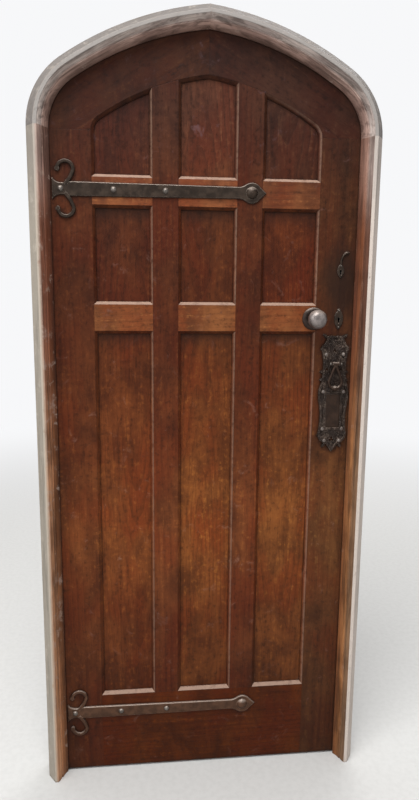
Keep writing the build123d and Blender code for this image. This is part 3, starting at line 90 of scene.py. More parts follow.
class Shader:
    """The node tree of one new material, with short ways to add and join its nodes."""

    def __init__(self, name):
        self.material = bpy.data.materials.new(name)
        self.material.use_nodes = True
        self.tree = self.material.node_tree
        self.surface = self.tree.nodes["Principled BSDF"]

    def feed(self, node, inputs):
        """Links or sets inputs, named or numbered: a socket is linked and anything else is a value."""
        for key, value in inputs.items():
            if isinstance(value, bpy.types.NodeSocket):
                self.tree.links.new(value, node.inputs[key])
            else:
                node.inputs[key].default_value = value

    def add(self, kind, inputs=None, **settings):
        node = self.tree.nodes.new(kind)
        for key, value in settings.items():
            setattr(node, key, value)
        self.feed(node, inputs or {})
        return node

    def finished(self, inputs):
        """Feeds the surface and gives the material."""
        self.feed(self.surface, inputs)
        return self.material

    def math(self, operation, *values, clamp=False):
        inputs = dict(enumerate(values))
        return self.add("ShaderNodeMath", inputs, operation=operation, use_clamp=clamp).outputs[0]

    def times(self, first, second):
        return self.math("MULTIPLY", first, second)

    def vector_math(self, operation, *values):
        return self.add("ShaderNodeVectorMath", dict(enumerate(values)), operation=operation)

    def axes(self, vector):
        """The X, Y and Z of a vector, by name."""
        return self.add("ShaderNodeSeparateXYZ", {"Vector": vector}).outputs

    def between(self, value, low, high, start=0.0, end=1.0):
        """Smooth rise from start to end as the value goes from low to high. Low may be above high."""
        inputs = {"Value": value, "From Min": low, "From Max": high, "To Min": start, "To Max": end}
        return self.add("ShaderNodeMapRange", inputs, interpolation_type="SMOOTHSTEP").outputs[0]

    def mix(self, factor, first, second, blend="MIX"):
        inputs = {MIX_FACTOR: factor, MIX_FIRST: first, MIX_SECOND: second}
        return self.add("ShaderNodeMix", inputs, data_type="RGBA", blend_type=blend).outputs[MIX_RESULT]

    def tinted(self, colour, tint):
        return self.mix(1.0, colour, tint, "MULTIPLY")

    def place(self):
        return self.add("ShaderNodeTexCoord").outputs["Object"]

    def facing(self):
        return self.add("ShaderNodeTexCoord").outputs["Normal"]

    def stretched(self, vector, scale):
        return self.add("ShaderNodeMapping", {"Vector": vector, "Scale": scale}).outputs[0]

    def noise(self, vector, scale, detail, roughness, distortion=0.0):
        """Noise from 0 to 1. Its scale is one number, or three where it differs along the axes."""
        if isinstance(scale, tuple):
            vector, scale = self.stretched(vector, scale), 1.0
        inputs = {
            "Vector": vector,
            "Scale": scale,
            "Detail": detail,
            "Roughness": roughness,
            "Distortion": distortion,
        }
        return self.add("ShaderNodeTexNoise", inputs).outputs["Fac"]

    def rounded(self, radius):
        """The normal as if the edges were rounded to this radius."""
        return self.add("ShaderNodeBevel", {"Radius": radius}, samples=EDGE_RAYS).outputs[0]

    def edge_match(self, radius):
        """How well the rounded normal agrees with the true one: 1 on open faces, and 0.7 on square edges."""
        true = self.add("ShaderNodeNewGeometry").outputs["Normal"]
        return self.vector_math("DOT_PRODUCT", self.rounded(radius), true).outputs["Value"]

    def worn_edge(self, radius):
        """Near 1 on sharp edges and 0 on open faces."""
        return self.between(self.edge_match(radius), 0.995, 0.80)

    def openness(self, reach):
        """1 on open faces, and less in corners and grooves."""
        return self.add("ShaderNodeAmbientOcclusion", {"Distance": reach}, samples=EDGE_RAYS).outputs["AO"]

    def bump(self, height, distance, strength, radius):
        """The rounded normal, tipped by a relief."""
        rounded = self.rounded(radius)
        inputs = {"Strength": strength, "Distance": distance, "Height": height, "Normal": rounded}
        return self.add("ShaderNodeBump", inputs).outputs[0]


def rgb(red, green, blue):
    return (red, green, blue, 1.0)


def scaled(colour, factors):
    """A colour with its channels multiplied, all by one factor or each by its own."""
    factors = factors if isinstance(factors, tuple) else (factors,) * 3
    return rgb(*(channel * factor for channel, factor in zip(colour, factors)))


# Palette: the oiled oak of the leaf, as it is about a metre above the floor, what lies on it, and the painted
# light and shade on it
STILE_OAK = rgb(0.088, 0.023, 0.0066)
LOCK_STILE_OAK = rgb(0.078, 0.026, 0.0085)
MUNTIN_OAK = rgb(0.090, 0.023, 0.0070)
FOOT_OAK = rgb(0.098, 0.0205, 0.0025)
LOCK_RAIL_OAK = rgb(0.205, 0.072, 0.0230)
HINGE_RAIL_OAK = rgb(0.165, 0.052, 0.0175)
PALE_HINGE_RAIL_OAK = scaled(HINGE_RAIL_OAK, 1.4)
HEAD_LEFT_OAK = rgb(0.081, 0.0200, 0.0052)
HEAD_RIGHT_OAK = rgb(0.070, 0.0200, 0.0070)
# The middle row of panels is darker by painted shade in its recesses
PANEL_TONES = {
    "panel_lower_left": rgb(0.106, 0.0270, 0.0069),
    "panel_lower_centre": rgb(0.122, 0.0335, 0.0079),
    "panel_lower_right": rgb(0.116, 0.0330, 0.0082),
    "panel_middle_left": rgb(0.079, 0.0192, 0.0056),
    "panel_middle_centre": rgb(0.094, 0.0240, 0.0063),
    "panel_middle_right": rgb(0.106, 0.0232, 0.0057),
    "panel_top_left": rgb(0.088, 0.0205, 0.0065),
    "panel_top_centre": rgb(0.140, 0.0380, 0.0120),
    "panel_top_right": rgb(0.080, 0.0222, 0.0077),
}
# Bare oak where the frame's edges are rubbed, which on the leaf is a painted highlight on the arrises that
# face the light
BARE_AND_HIGHLIT_OAK = rgb(0.360, 0.225, 0.160)
CHALK = rgb(0.260, 0.130, 0.095)
# Dust with painted top light, for what faces up on the leaf
DUST_AND_TOP_LIGHT = rgb(0.300, 0.195, 0.145)
# A black for dirt, dark joints and a dark patch round the lock, and for painted shade in corners and under
# panels' heads
DIRT_AND_SHADE_BLACK = rgb(0.016, 0.007, 0.004)
WHITE = rgb(1.0, 1.0, 1.0)
BLACK = rgb(0.0, 0.0, 0.0)

# The oak's own lights and darks, as multiples of a member's tone
PATCH_DARK = (0.62, 0.58, 0.62)
PATCH_LIGHT = (1.40, 1.44, 1.40)
BLUSHED = (1.16, 0.78, 0.66)
GRAIN_DARK = 0.34
GRAIN_LIGHT = (2.10, 2.40, 2.20)
RING_DARK = 0.40
PORE_DARK = 0.30

# Its noises: the scale, then the detail, the roughness and the distortion
STREAKS = ((70, 70, 4.5), 6.0, 0.68, 0.5)
PORES = ((900, 900, 38), 2.0, 0.5)
PATCHES = ((13, 13, 7), 4.0, 0.60, 0.6)
BLUSH = ((9, 9, 5), 3.0, 0.5)
MOTTLE = (75.0, 5.0, 0.72)
CHALKINESS = (21.0, 6.0, 0.75, 0.8)

# Its rings: how close and how long they are, how far they lean from the member and how dark they show
RING_SCALE = 30.0
RING_STRETCH = 4.5
RING_LEAN = 0.02
RING_STRENGTH = 0.30
PANEL_RING_LEAN = 0.10
PANEL_RING_STRENGTH = 0.42

# Where dirt, wear and painted light lie: painted shade below a panel's head, dirt and painted shade in
# corners, dark joints, eased edges, a painted highlight on the arrises at the leaf's face, and a dark patch
# round the lock
HEAD_SHADE_START, HEAD_SHADE_FULL = 0.055, 0.008
CORNER_REACH = 0.030
JOINT_RADIUS = 0.0012
OAK_EDGE = 0.0016
ARRIS_DEPTH = 0.0060
DARK_PATCH_PLACE = (0.345, 0.0, 1.36)
DARK_PATCH_SPREAD = (0.055, 1.0, 0.13)

# Painted light and shade with height: darker at the foot, lighter below the lock where light bounces up from
# the ground, and darker and greyer at the head, in the shade of the arch
LEAF_TOP = 2.0
HEIGHT_TINTS = (
    (0.10, rgb(0.56, 0.56, 0.58)),
    (0.40, rgb(0.84, 0.84, 0.84)),
    (0.70, rgb(1.34, 1.46, 1.36)),
    (1.02, rgb(0.92, 0.90, 0.86)),
    (1.24, rgb(0.70, 0.66, 0.66)),
    (1.52, rgb(0.66, 0.64, 0.66)),
    (1.78, rgb(0.42, 0.50, 0.78)),
)


def painted_height_shading(shader, height):
    """The tint at a height, which changes smoothly from each of the tints to the next."""
    ramp = shader.add("ShaderNodeValToRGB", {"Fac": shader.math("DIVIDE", height, LEAF_TOP)})
    stops = ramp.color_ramp
    stops.interpolation = "EASE"
    while len(stops.elements) < len(HEIGHT_TINTS):
        stops.elements.new(0.5)
    for stop, (level, tint) in zip(stops.elements, HEIGHT_TINTS):
        stop.position = level / LEAF_TOP
        stop.color = tint
    return ramp.outputs["Color"]


def oak_grain(shader, place, turn, shift, heart, lean):
    """Grain along a member, as (streaks, rings, pores), each from 0 to 1. Its rings lie round the heart."""
    along = shader.add("ShaderNodeMapping", {"Vector": place, "Location": shift, "Rotation": (0, turn, 0)})
    board = along.outputs[0]
    log = shader.add(
        "ShaderNodeMapping",
        {"Vector": place, "Location": heart, "Rotation": (lean, -turn, 0), "Scale": (1, 1, RING_STRETCH)},
        vector_type="TEXTURE",
    )
    waves = shader.add(
        "ShaderNodeTexWave",
        {
            "Vector": log.outputs[0],
            "Scale": RING_SCALE,
            "Distortion": 9.0,
            "Detail": 3.0,
            "Detail Scale": 0.20,
            "Detail Roughness": 0.62,
        },
        wave_type="RINGS",
        rings_direction="Z",
        wave_profile="SAW",
    )
    return shader.noise(board, *STREAKS), waves.outputs["Fac"], shader.noise(board, *PORES)


def figured(shader, tone, place, lines, patches, mottle, ring_strength):
    """Clean oak, as its colour and its relief, from its tone and the lines of its grain."""
    streaks, rings, pores = lines
    blush = shader.noise(place, *BLUSH)
    colour = shader.mix(
        shader.between(patches, 0.30, 0.70), scaled(tone, PATCH_DARK), scaled(tone, PATCH_LIGHT)
    )
    colour = shader.mix(shader.between(blush, 0.42, 0.62, 0.0, 0.7), colour, scaled(tone, BLUSHED))
    grain = shader.math("MULTIPLY_ADD", mottle, 0.55, shader.times(streaks, 0.45))
    colour = shader.mix(shader.between(grain, 0.50, 0.36, 0.0, 0.72), colour, scaled(tone, GRAIN_DARK))
    colour = shader.mix(shader.between(grain, 0.52, 0.66, 0.0, 0.70), colour, scaled(tone, GRAIN_LIGHT))
    broken = shader.between(blush, 0.36, 0.62, 0.3, 1.0)
    in_ring = shader.times(shader.times(shader.between(rings, 0.45, 1.0), broken), ring_strength)
    colour = shader.mix(in_ring, colour, scaled(tone, RING_DARK))
    in_pore = shader.between(pores, 0.58, 0.70, 0.0, 0.45)
    colour = shader.mix(in_pore, colour, scaled(tone, PORE_DARK))
    relief = shader.math("SUBTRACT", grain, shader.times(in_pore, 0.6))
    relief = shader.math("SUBTRACT", relief, shader.times(in_ring, 0.4))
    return colour, relief


def soiled_and_shaded(shader, colour, place, patches, mottle, head, dark_patch):
    """Oak with chalky scuffs, painted light and shade by height and under a head, a dark patch, dirt with
    painted shade in corners, and dark joints.
    """
    height = shader.axes(place)["Z"]
    chalky = shader.between(shader.noise(place, *CHALKINESS), 0.58, 0.78, 0.0, 0.55)
    colour = shader.mix(chalky, colour, CHALK)
    # Painted light and shade with height
    colour = shader.tinted(colour, painted_height_shading(shader, height))
    # Painted shade under the rail above a panel
    if head:
        shade = shader.between(height, head - HEAD_SHADE_START, head - HEAD_SHADE_FULL, 0.0, 0.6)
        colour = shader.mix(shade, colour, DIRT_AND_SHADE_BLACK)
    # A dark patch on the lock stile round the locks
    if dark_patch:
        spread = shader.add(
            "ShaderNodeMapping",
            {"Vector": place, "Location": dark_patch, "Scale": DARK_PATCH_SPREAD},
            vector_type="TEXTURE",
        )
        away = shader.vector_math("LENGTH", spread.outputs[0]).outputs["Value"]
        away = shader.math("ADD", away, shader.times(patches, 0.8))
        colour = shader.mix(shader.between(away, 1.50, 0.75, 0.0, 0.80), colour, DIRT_AND_SHADE_BLACK)
    # Dirt and painted shade in corners and grooves, then dark joints
    in_corner_shade = shader.between(shader.openness(CORNER_REACH), 0.86, 0.50, 0.0, 0.85)
    corner_dirt_and_shade = shader.times(in_corner_shade, shader.between(mottle, 0.30, 0.60, 1.0, 0.7))
    colour = shader.mix(corner_dirt_and_shade, colour, DIRT_AND_SHADE_BLACK)
    joints = shader.between(shader.edge_match(JOINT_RADIUS), 0.90, 0.76, 0.0, 0.75)
    return shader.mix(joints, colour, DIRT_AND_SHADE_BLACK)


def highlights_and_dust(shader, colour, place, mottle):
    """Oak with a painted highlight on its arrises where they slant to the left, towards the light, and dust
    with painted top light on what faces up.
    """
    facing = shader.axes(shader.facing())
    # A painted highlight on the arrises that slant to the left, towards the light
    slanted = shader.between(shader.math("ABSOLUTE", facing["Y"]), 0.95, 0.85)
    at_face = shader.between(shader.axes(place)["Y"], ARRIS_DEPTH, ARRIS_DEPTH / 3)
    to_left = shader.between(facing["X"], -0.1, -0.6, 0.0, 0.28)
    rubbed_and_highlit = shader.times(shader.times(slanted, at_face), to_left)
    rubbed_and_highlit = shader.times(rubbed_and_highlit, shader.between(mottle, 0.30, 0.52, 0.35, 1.0))
    colour = shader.mix(rubbed_and_highlit, colour, BARE_AND_HIGHLIT_OAK)
    # Dust with painted top light on what faces up
    upward = shader.between(facing["Z"], 0.40, 0.62)
    dust_and_light = shader.times(upward, shader.between(mottle, 0.25, 0.55, 0.55, 0.95))
    return shader.mix(dust_and_light, colour, DUST_AND_TOP_LIGHT)


def oak(name, tone, turn, shift, heart, lean=RING_LEAN, ring_strength=RING_STRENGTH, head=None, dark_patch=None):
    """Oiled oak: mottled grain, dirt and painted shade in corners, painted highlights on arrises, chalky
    scuffs, and dust with painted top light on what faces up.

    A panel gives the height of its head, under which it is darker with painted shade, and the lock stile
    gives the middle of a dark patch round its locks.
    """
    shader = Shader(name)
    place = shader.place()
    lines = oak_grain(shader, place, turn, shift, heart, lean)
    patches = shader.noise(place, *PATCHES)
    mottle = shader.noise(place, *MOTTLE)
    colour, relief = figured(shader, tone, place, lines, patches, mottle, ring_strength)
    colour = soiled_and_shaded(shader, colour, place, patches, mottle, head, dark_patch)
    return shader.finished({
        "Base Color": highlights_and_dust(shader, colour, place, mottle),
        "Roughness": shader.between(mottle, 0.3, 0.75, 0.40, 0.66),
        "Specular IOR Level": 0.12,
        "Normal": shader.bump(relief, distance=0.0014, strength=0.6, radius=OAK_EDGE),
    })


# The frame's oak: each piece has a tone at the stop, on the roll, in the hollow, on the limed front and on
# the splay. The dark tone at the stop is painted shade where the frame meets the leaf, and the right jamb's
# splay is lighter than the left's, as painted light against the lamps' shade on that side. The moulding is
# paler low down, and drifts between a darker and a lighter tint.
JAMB_LEFT_TONES = (
    rgb(0.058, 0.017, 0.008),
    rgb(0.165, 0.055, 0.028),
    rgb(0.225, 0.088, 0.052),
    rgb(0.420, 0.365, 0.300),
    rgb(0.285, 0.250, 0.205),
)
JAMB_RIGHT_TONES = (
    rgb(0.082, 0.023, 0.009),
    rgb(0.176, 0.060, 0.026),
    rgb(0.108, 0.048, 0.030),
    rgb(0.540, 0.468, 0.414),
    rgb(0.470, 0.400, 0.350),
)
HEAD_TONES = (
    rgb(0.150, 0.088, 0.068),
    rgb(0.470, 0.320, 0.265),
    rgb(0.520, 0.445, 0.400),
    rgb(0.265, 0.243, 0.226),
    rgb(0.150, 0.133, 0.122),
)
LOW_TINT = rgb(1.95, 2.50, 2.20)
DRIFT_DARK = rgb(0.72, 0.68, 0.68)
DRIFT_LIGHT = rgb(1.20, 1.20, 1.20)
FRAME_STREAK = rgb(0.022, 0.010, 0.006)
FRAME_RING = rgb(0.030, 0.012, 0.008)
FRAME_SCUFF = rgb(0.340, 0.250, 0.205)
SPLAY_LIME = rgb(0.520, 0.460, 0.390)
SPLAY_STREAK = rgb(0.120, 0.100, 0.080)

# Its noises: the scale, then the detail, the roughness and the distortion
BLOTCH = (34.0, 6.0, 0.74, 0.4)
DRIFT = (7.0, 4.0, 0.6)

# Where its tones change: depths of its section, sides of its front fillet, and heights. Then how far painted
# shade reaches from a corner and wear from an edge, and how much wider the scuffs are on a fully scuffed
# piece
STOP_DEPTH, ROLL_DEPTH = -0.005, -0.023
QUIRK_START, HOLLOW_DEPTH = -0.024, -0.029
FILLET_DEPTH, FILLET_FADE = -0.0435, 0.0010
FILLET_INNER, FILLET_OUTER = 0.403, 0.411
LOW_START, LOW_END = 1.30, 0.80
SPRINGING_START, SPRINGING_END = 1.46, 1.68
ARCH_MIDDLE = 1.35
FRAME_CORNER_REACH = 0.012
FRAME_EDGE = 0.002
SCUFF_SPREAD = 0.16


def frame_tones(shader, axes, tones, drift):
    """The moulding's tone, the limed front's and the splay's. Jambs turn a little greyer at the springing."""
    springing = shader.between(axes["Z"], SPRINGING_START, SPRINGING_END, 0.0, 0.45)
    stop, roll, hollow, limed, splay = (
        shader.mix(springing, tone, head_tone) for tone, head_tone in zip(tones, HEAD_TONES)
    )
    tone = shader.mix(shader.between(axes["Y"], STOP_DEPTH, ROLL_DEPTH), stop, roll)
    tone = shader.mix(shader.between(axes["Y"], QUIRK_START, HOLLOW_DEPTH), tone, hollow)
    low = shader.mix(shader.between(axes["Z"], LOW_START, LOW_END), WHITE, LOW_TINT)
    drifting = shader.mix(shader.between(drift, 0.35, 0.65), DRIFT_DARK, DRIFT_LIGHT)
    return shader.tinted(shader.tinted(tone, low), drifting), limed, splay


def facing_out(shader, axes):
    """How squarely a face looks away from the opening's middle line or, above it, from the arch's middle."""
    rise = shader.math("MAXIMUM", shader.math("SUBTRACT", axes["Z"], ARCH_MIDDLE), 0.0)
    out = shader.add("ShaderNodeCombineXYZ", {"X": axes["X"], "Y": 0.0, "Z": rise}).outputs[0]
    out = shader.vector_math("NORMALIZE", out).outputs[0]
    return shader.vector_math("DOT_PRODUCT", out, shader.facing()).outputs["Value"]


def lime_left(shader, axes, blotch, peeled):
    """How much lime the front fillet has kept. Where it has peeled, less is left towards the opening."""
    front = shader.between(axes["Y"], FILLET_DEPTH + FILLET_FADE, FILLET_DEPTH)
    lime = shader.times(front, shader.between(blotch, 0.28, 0.44, 0.45, 1.0))
    if peeled:
        lime = shader.times(lime, shader.between(axes["X"], -FILLET_OUTER, -FILLET_INNER, 1.0, 0.25))
    return lime


def rubbed_edge(shader, blotch):
    """How bare the frame's blunt edges are rubbed, in places. Its sharp ones are left."""
    match = shader.edge_match(FRAME_EDGE)
    eased = shader.between(match, 0.995, 0.90)
    edge = shader.math("SUBTRACT", eased, shader.between(match, 0.86, 0.78), clamp=True)
    return shader.times(edge, shader.between(blotch, 0.42, 0.62, 0.0, 0.5))


def frame_oak(name, turn, shift, heart, tones, scuffs, peeled):
    """The frame's oak: a moulding that is paler towards the floor, with a limed front, a grey splay and
    painted shade in its corners.

    Scuffs is how much of it is scuffed, from 0 to 1, and peeled is whether its lime has come off.
    """
    shader = Shader(name)
    place = shader.place()
    axes = shader.axes(place)
    streaks, rings, pores = oak_grain(shader, place, turn, shift, heart, RING_LEAN)
    blotch = shader.noise(place, *BLOTCH)
    tone, limed, splay = frame_tones(shader, axes, tones, shader.noise(place, *DRIFT))
    colour = shader.mix(shader.between(streaks, 0.34, 0.58, 0.60, 0.0), tone, FRAME_STREAK)
    colour = shader.mix(shader.times(shader.between(rings, 0.6, 1.0), 0.25), colour, FRAME_RING)
    spread = SCUFF_SPREAD * scuffs
    bare = shader.between(blotch, 0.68 - spread, 0.80 - spread, 0.0, 0.62)
    colour = shader.mix(bare, colour, FRAME_SCUFF)
    splay = shader.mix(shader.between(blotch, 0.50, 0.80, 0.0, 0.6), splay, SPLAY_LIME)
    splay = shader.mix(shader.between(streaks, 0.34, 0.52, 0.45, 0.0), splay, SPLAY_STREAK)
    colour = shader.mix(shader.between(facing_out(shader, axes), 0.25, 0.40), colour, splay)
    colour = shader.mix(lime_left(shader, axes, blotch, peeled), colour, limed)
    # Painted shade in the frame's corners, where it meets the leaf
    in_corner_shade = shader.between(shader.openness(FRAME_CORNER_REACH), 0.70, 0.35, 0.0, 0.8)
    colour = shader.mix(in_corner_shade, colour, DIRT_AND_SHADE_BLACK)
    colour = shader.mix(rubbed_edge(shader, blotch), colour, BARE_AND_HIGHLIT_OAK)
    relief = shader.math("ADD", streaks, shader.times(blotch, 0.8))
    relief = shader.math("SUBTRACT", relief, shader.times(shader.between(pores, 0.58, 0.70), 0.4))
    return shader.finished({
        "Base Color": colour,
        "Roughness": shader.between(blotch, 0.3, 0.7, 0.46, 0.76),
        "Specular IOR Level": 0.15,
        "Normal": shader.bump(relief, distance=0.0016, strength=0.6, radius=FRAME_EDGE),
    })


# Ironwork: the dust with its painted sheen and the rust on it, the bare iron under its paint, and how wide
# its edges are worn
IRON_DUST_AND_SHEEN = rgb(0.300, 0.240, 0.200)
RUST = rgb(0.100, 0.038, 0.016)
CHIPPED = rgb(0.24, 0.20, 0.17)
IRON_EDGE = 0.0012
PAINT_EDGE = 0.0010

# Its noises: the scale, then the detail, the roughness and the distortion
IRON_GRAIN = (420.0, 3.0, 0.6)
BEATEN = (55.0, 4.0, 0.6)
CAST_LEAVES = (85.0, 2.0, 0.5, 1.6)
CAST_WEAR = (42.0, 4.0, 0.65)
ORANGE_PEEL = (240.0, 3.0, 0.5)
CHIPS = (60.0, 5.0, 0.7)

# How the cast leaves are drawn out along each axis, and how much lighter than its dark a metal is in patches
LEAF_STRETCH = (1.0, 1.0, 0.75)
BEATEN_LIGHT = 1.9
CAST_LIGHT = 2.4
PAINT_LIGHT = 1.7


def iron(name, dark, rubbed_and_highlit, rust=0.3, roughness=0.42, metal=0.7, dust_and_sheen=0.7):
    """Blackened iron, rubbed bright on its edges, with rust between, and dust with a painted sheen on what
    faces up.

    Rust, metal and the dust with its painted sheen say how much it shows of each, from 0 to 1.
    """
    shader = Shader(name)
    place = shader.place()
    beaten = shader.noise(place, *BEATEN)
    grain = shader.noise(place, *IRON_GRAIN)
    colour = shader.mix(shader.between(beaten, 0.35, 0.70), dark, scaled(dark, BEATEN_LIGHT))
    colour = shader.mix(shader.between(grain, 0.55, 0.72, 0.0, rust), colour, RUST)
    edge = shader.times(shader.worn_edge(IRON_EDGE), shader.between(beaten, 0.25, 0.55, 0.45, 1.0))
    colour = shader.mix(edge, colour, rubbed_and_highlit)
    # Dust with a painted sheen on what faces up
    upward = shader.between(shader.axes(shader.facing())["Z"], 0.30, 0.75, 0.0, dust_and_sheen)
    dust_and_light = shader.times(upward, shader.between(grain, 0.35, 0.6, 0.5, 1.0))
    relief = shader.math("ADD", beaten, shader.times(grain, 0.18))
    return shader.finished({
        "Base Color": shader.mix(dust_and_light, colour, IRON_DUST_AND_SHEEN),
        "Metallic": shader.times(shader.math("SUBTRACT", 1.0, dust_and_light), metal),
        "Roughness": shader.between(beaten, 0.3, 0.7, roughness - 0.06, roughness + 0.14),
        "Normal": shader.bump(relief, distance=0.0014, strength=0.6, radius=IRON_EDGE),
    })


def cast_iron(name, dark, rubbed_and_highlit):
    """Black cast iron whose face is covered with small worn leaves and scrolls."""
    shader = Shader(name)
    place = shader.place()
    leaves = shader.noise(shader.stretched(place, LEAF_STRETCH), *CAST_LEAVES)
    ridges = shader.between(shader.math("ABSOLUTE", shader.math("SUBTRACT", leaves, 0.5)), 0.16, 0.0)
    wear = shader.noise(place, *CAST_WEAR)
    grain = shader.noise(place, *IRON_GRAIN)
    colour = shader.mix(shader.between(wear, 0.35, 0.70), dark, scaled(dark, CAST_LIGHT))
    colour = shader.mix(shader.between(grain, 0.58, 0.74, 0.0, 0.25), colour, RUST)
    edge = shader.times(shader.worn_edge(IRON_EDGE), shader.between(wear, 0.25, 0.55, 0.35, 1.0))
    crest = shader.times(shader.between(ridges, 0.62, 0.98), shader.between(wear, 0.50, 0.64, 0.0, 0.55))
    relief = shader.math("ADD", ridges, shader.times(grain, 0.12))
    return shader.finished({
        "Base Color": shader.mix(shader.math("MAXIMUM", edge, crest), colour, rubbed_and_highlit),
        "Metallic": 0.55,
        "Roughness": shader.between(wear, 0.3, 0.7, 0.34, 0.54),
        "Normal": shader.bump(relief, distance=0.0022, strength=0.75, radius=IRON_EDGE),
    })


def painted_iron(name, paint):
    """Satin paint over iron, chipped at its edges."""
    shader = Shader(name)
    place = shader.place()
    orange_peel = shader.noise(place, *ORANGE_PEEL)
    chips = shader.noise(place, *CHIPS)
    colour = shader.mix(shader.between(chips, 0.40, 0.70), paint, scaled(paint, PAINT_LIGHT))
    edge = shader.times(shader.worn_edge(PAINT_EDGE), shader.between(chips, 0.50, 0.60))
    return shader.finished({
        "Base Color": shader.mix(edge, colour, CHIPPED),
        "Metallic": shader.times(edge, 0.8),
        "Roughness": shader.between(chips, 0.3, 0.7, 0.34, 0.50),
        "Normal": shader.bump(orange_peel, distance=0.0005, strength=0.4, radius=PAINT_EDGE),
    })


def dress(names, material):
    """Gives the nodes the material in place of their own."""
    for name in names:
        mesh = nodes[name].data
        mesh.materials.clear()
        mesh.materials.append(material)


def middle(name):
    """The middle of a node's box, between two of its opposite corners."""
    corners = [Vector(corner) for corner in nodes[name].bound_box]
    return (corners[0] + corners[6]) / 2


def heart_of(name, aside, depth, lift=0.0):
    """A member's heart: the line that its rings lie round, from its middle."""
    return middle(name) + Vector((aside, depth, lift))


def grain_shift(index, start, step):
    """Where a member's grain is taken from. Each takes a step further, so that no two are alike."""
    return tuple(first + index * move for first, move in zip(start, step))


# Turns of the grain: upright, level, and along the chord of the arched head's halves, which is HEAD_RUN wide
# and HEAD_RISE high
HEAD_RUN, HEAD_RISE = 0.390, 0.243
UPRIGHT = 0.0
LEVEL = pi / 2
HEAD_LEAN = LEVEL - atan2(HEAD_RISE, HEAD_RUN)

# The leaf's members, in the order in which they take their grain. The grain of each kind has a start and a
# step from one member to the next
UPRIGHT_TONES = {
    "hinge_stile": STILE_OAK,
    "lock_stile": LOCK_STILE_OAK,
    "muntin_left": MUNTIN_OAK,
    "muntin_right": MUNTIN_OAK,
}
UPRIGHT_GRAIN = ((0.05, 0.06, 0.0), (0.31, 0.0, 1.7))
RAIL_TONES = {
    "bottom_rail": FOOT_OAK,
    "hinge_rail_centre": PALE_HINGE_RAIL_OAK,
    "hinge_rail_left": PALE_HINGE_RAIL_OAK,
    "hinge_rail_right": HINGE_RAIL_OAK,
    "lock_rail_centre": LOCK_RAIL_OAK,
    "lock_rail_left": LOCK_RAIL_OAK,
    "lock_rail_right": LOCK_RAIL_OAK,
}
RAIL_GRAIN = ((0.0, 0.07, 0.0), (0.23, 0.0, 2.3))
HEAD_SIDES = {"head_rail_left": (-1, HEAD_LEFT_OAK), "head_rail_right": (1, HEAD_RIGHT_OAK)}
HEAD_GRAIN = ((0.0, 0.05, 0.9), (0.4, 0.0, 0.0))
PANEL_GRAIN = ((0.02, 0.045, 0.0), (0.17, 0.0, 1.3))
CHAMFER_GRAIN = (0.6, 0.02, 0.8)

# How far members' hearts lie from their middles: aside, behind them and above them
UPRIGHT_HEART_ASIDE = 0.05
PANEL_HEART_ASIDE = 0.03
HEART_DEPTH = 0.03
RAIL_HEART_DEPTH = 0.04
HEAD_HEART_DEPTH = 0.05
RAIL_HEART_LIFT = 0.06
PANEL_HEART_LIFT = 0.25

# The angles that scatter the panels' hearts, aside and up: each panel's is this much further round
PANEL_ASIDE_TURN = 2.1
PANEL_LIFT_TURN = 1.7


def dress_leaf():
    """Each member gets its own stretch of grain, along its length, and each panel its chamfers."""
    for index, (name, tone) in enumerate(UPRIGHT_TONES.items()):
        dark_patch = DARK_PATCH_PLACE if name == "lock_stile" else None
        heart = heart_of(name, UPRIGHT_HEART_ASIDE * (-1) ** index, HEART_DEPTH)
        shift = grain_shift(index, *UPRIGHT_GRAIN)
        dress([name], oak(name + "_oak", tone, UPRIGHT, shift, heart, dark_patch=dark_patch))
    for index, (name, tone) in enumerate(RAIL_TONES.items()):
        heart = heart_of(name, 0.0, RAIL_HEART_DEPTH, RAIL_HEART_LIFT)
        dress([name], oak(name + "_oak", tone, LEVEL, grain_shift(index, *RAIL_GRAIN), heart))
    for name, (side, tone) in HEAD_SIDES.items():
        heart = heart_of(name, 0.0, HEAD_HEART_DEPTH)
        dress([name], oak(name + "_oak", tone, side * HEAD_LEAN, grain_shift(side, *HEAD_GRAIN), heart))
    chamfer_heart = heart_of("lock_stile", 0.0, HEAD_HEART_DEPTH)
    chamfer_oak = oak("chamfer_oak", STILE_OAK, UPRIGHT, CHAMFER_GRAIN, chamfer_heart)
    for index, (name, tone) in enumerate(PANEL_TONES.items()):
        aside = PANEL_HEART_ASIDE * cos(PANEL_ASIDE_TURN * index)
        lift = PANEL_HEART_LIFT * sin(PANEL_LIFT_TURN * index)
        heart = heart_of(name, aside, HEART_DEPTH, lift)
        lean = PANEL_RING_LEAN * (-1) ** index
        head = None if name.startswith("panel_top") else max(corner[2] for corner in nodes[name].bound_box)
        shift = grain_shift(index, *PANEL_GRAIN)
        dress([name], oak(name + "_oak", tone, UPRIGHT, shift, heart, lean, PANEL_RING_STRENGTH, head))
        plant_chamfers(name, chamfer_oak)


# The chamfer planted round each panel: its width and depth, and where the panel's faces and its edge lie
CHAMFER = 0.007
LEAF_BACK = 0.042
PANEL_FRONT = 0.010
PANEL_BACK = 0.026
PANEL_BURIED = 0.003
PANEL_FOOT_BURIED = 0.005
CHAMFER_DEPTHS = ((0.0, CHAMFER, PANEL_FRONT), (LEAF_BACK, LEAF_BACK - CHAMFER, PANEL_BACK))

# How close two places or directions count as the same, and the decimals to which corners are compared
CLOSE = 0.0001
DECIMALS = 6


def panel_outline(name):
    """The front face's corners as (x, z), in order round the panel."""
    corners = [vertex.co for vertex in nodes[name].data.vertices if vertex.co.y < PANEL_FRONT + CLOSE]
    centre = middle(name)
    points = sorted(
        {(round(corner.x, DECIMALS), round(corner.z, DECIMALS)) for corner in corners},
        key=lambda point: atan2(point[1] - centre.z, point[0] - centre.x),
    )
    return [Vector(point) for point in points]


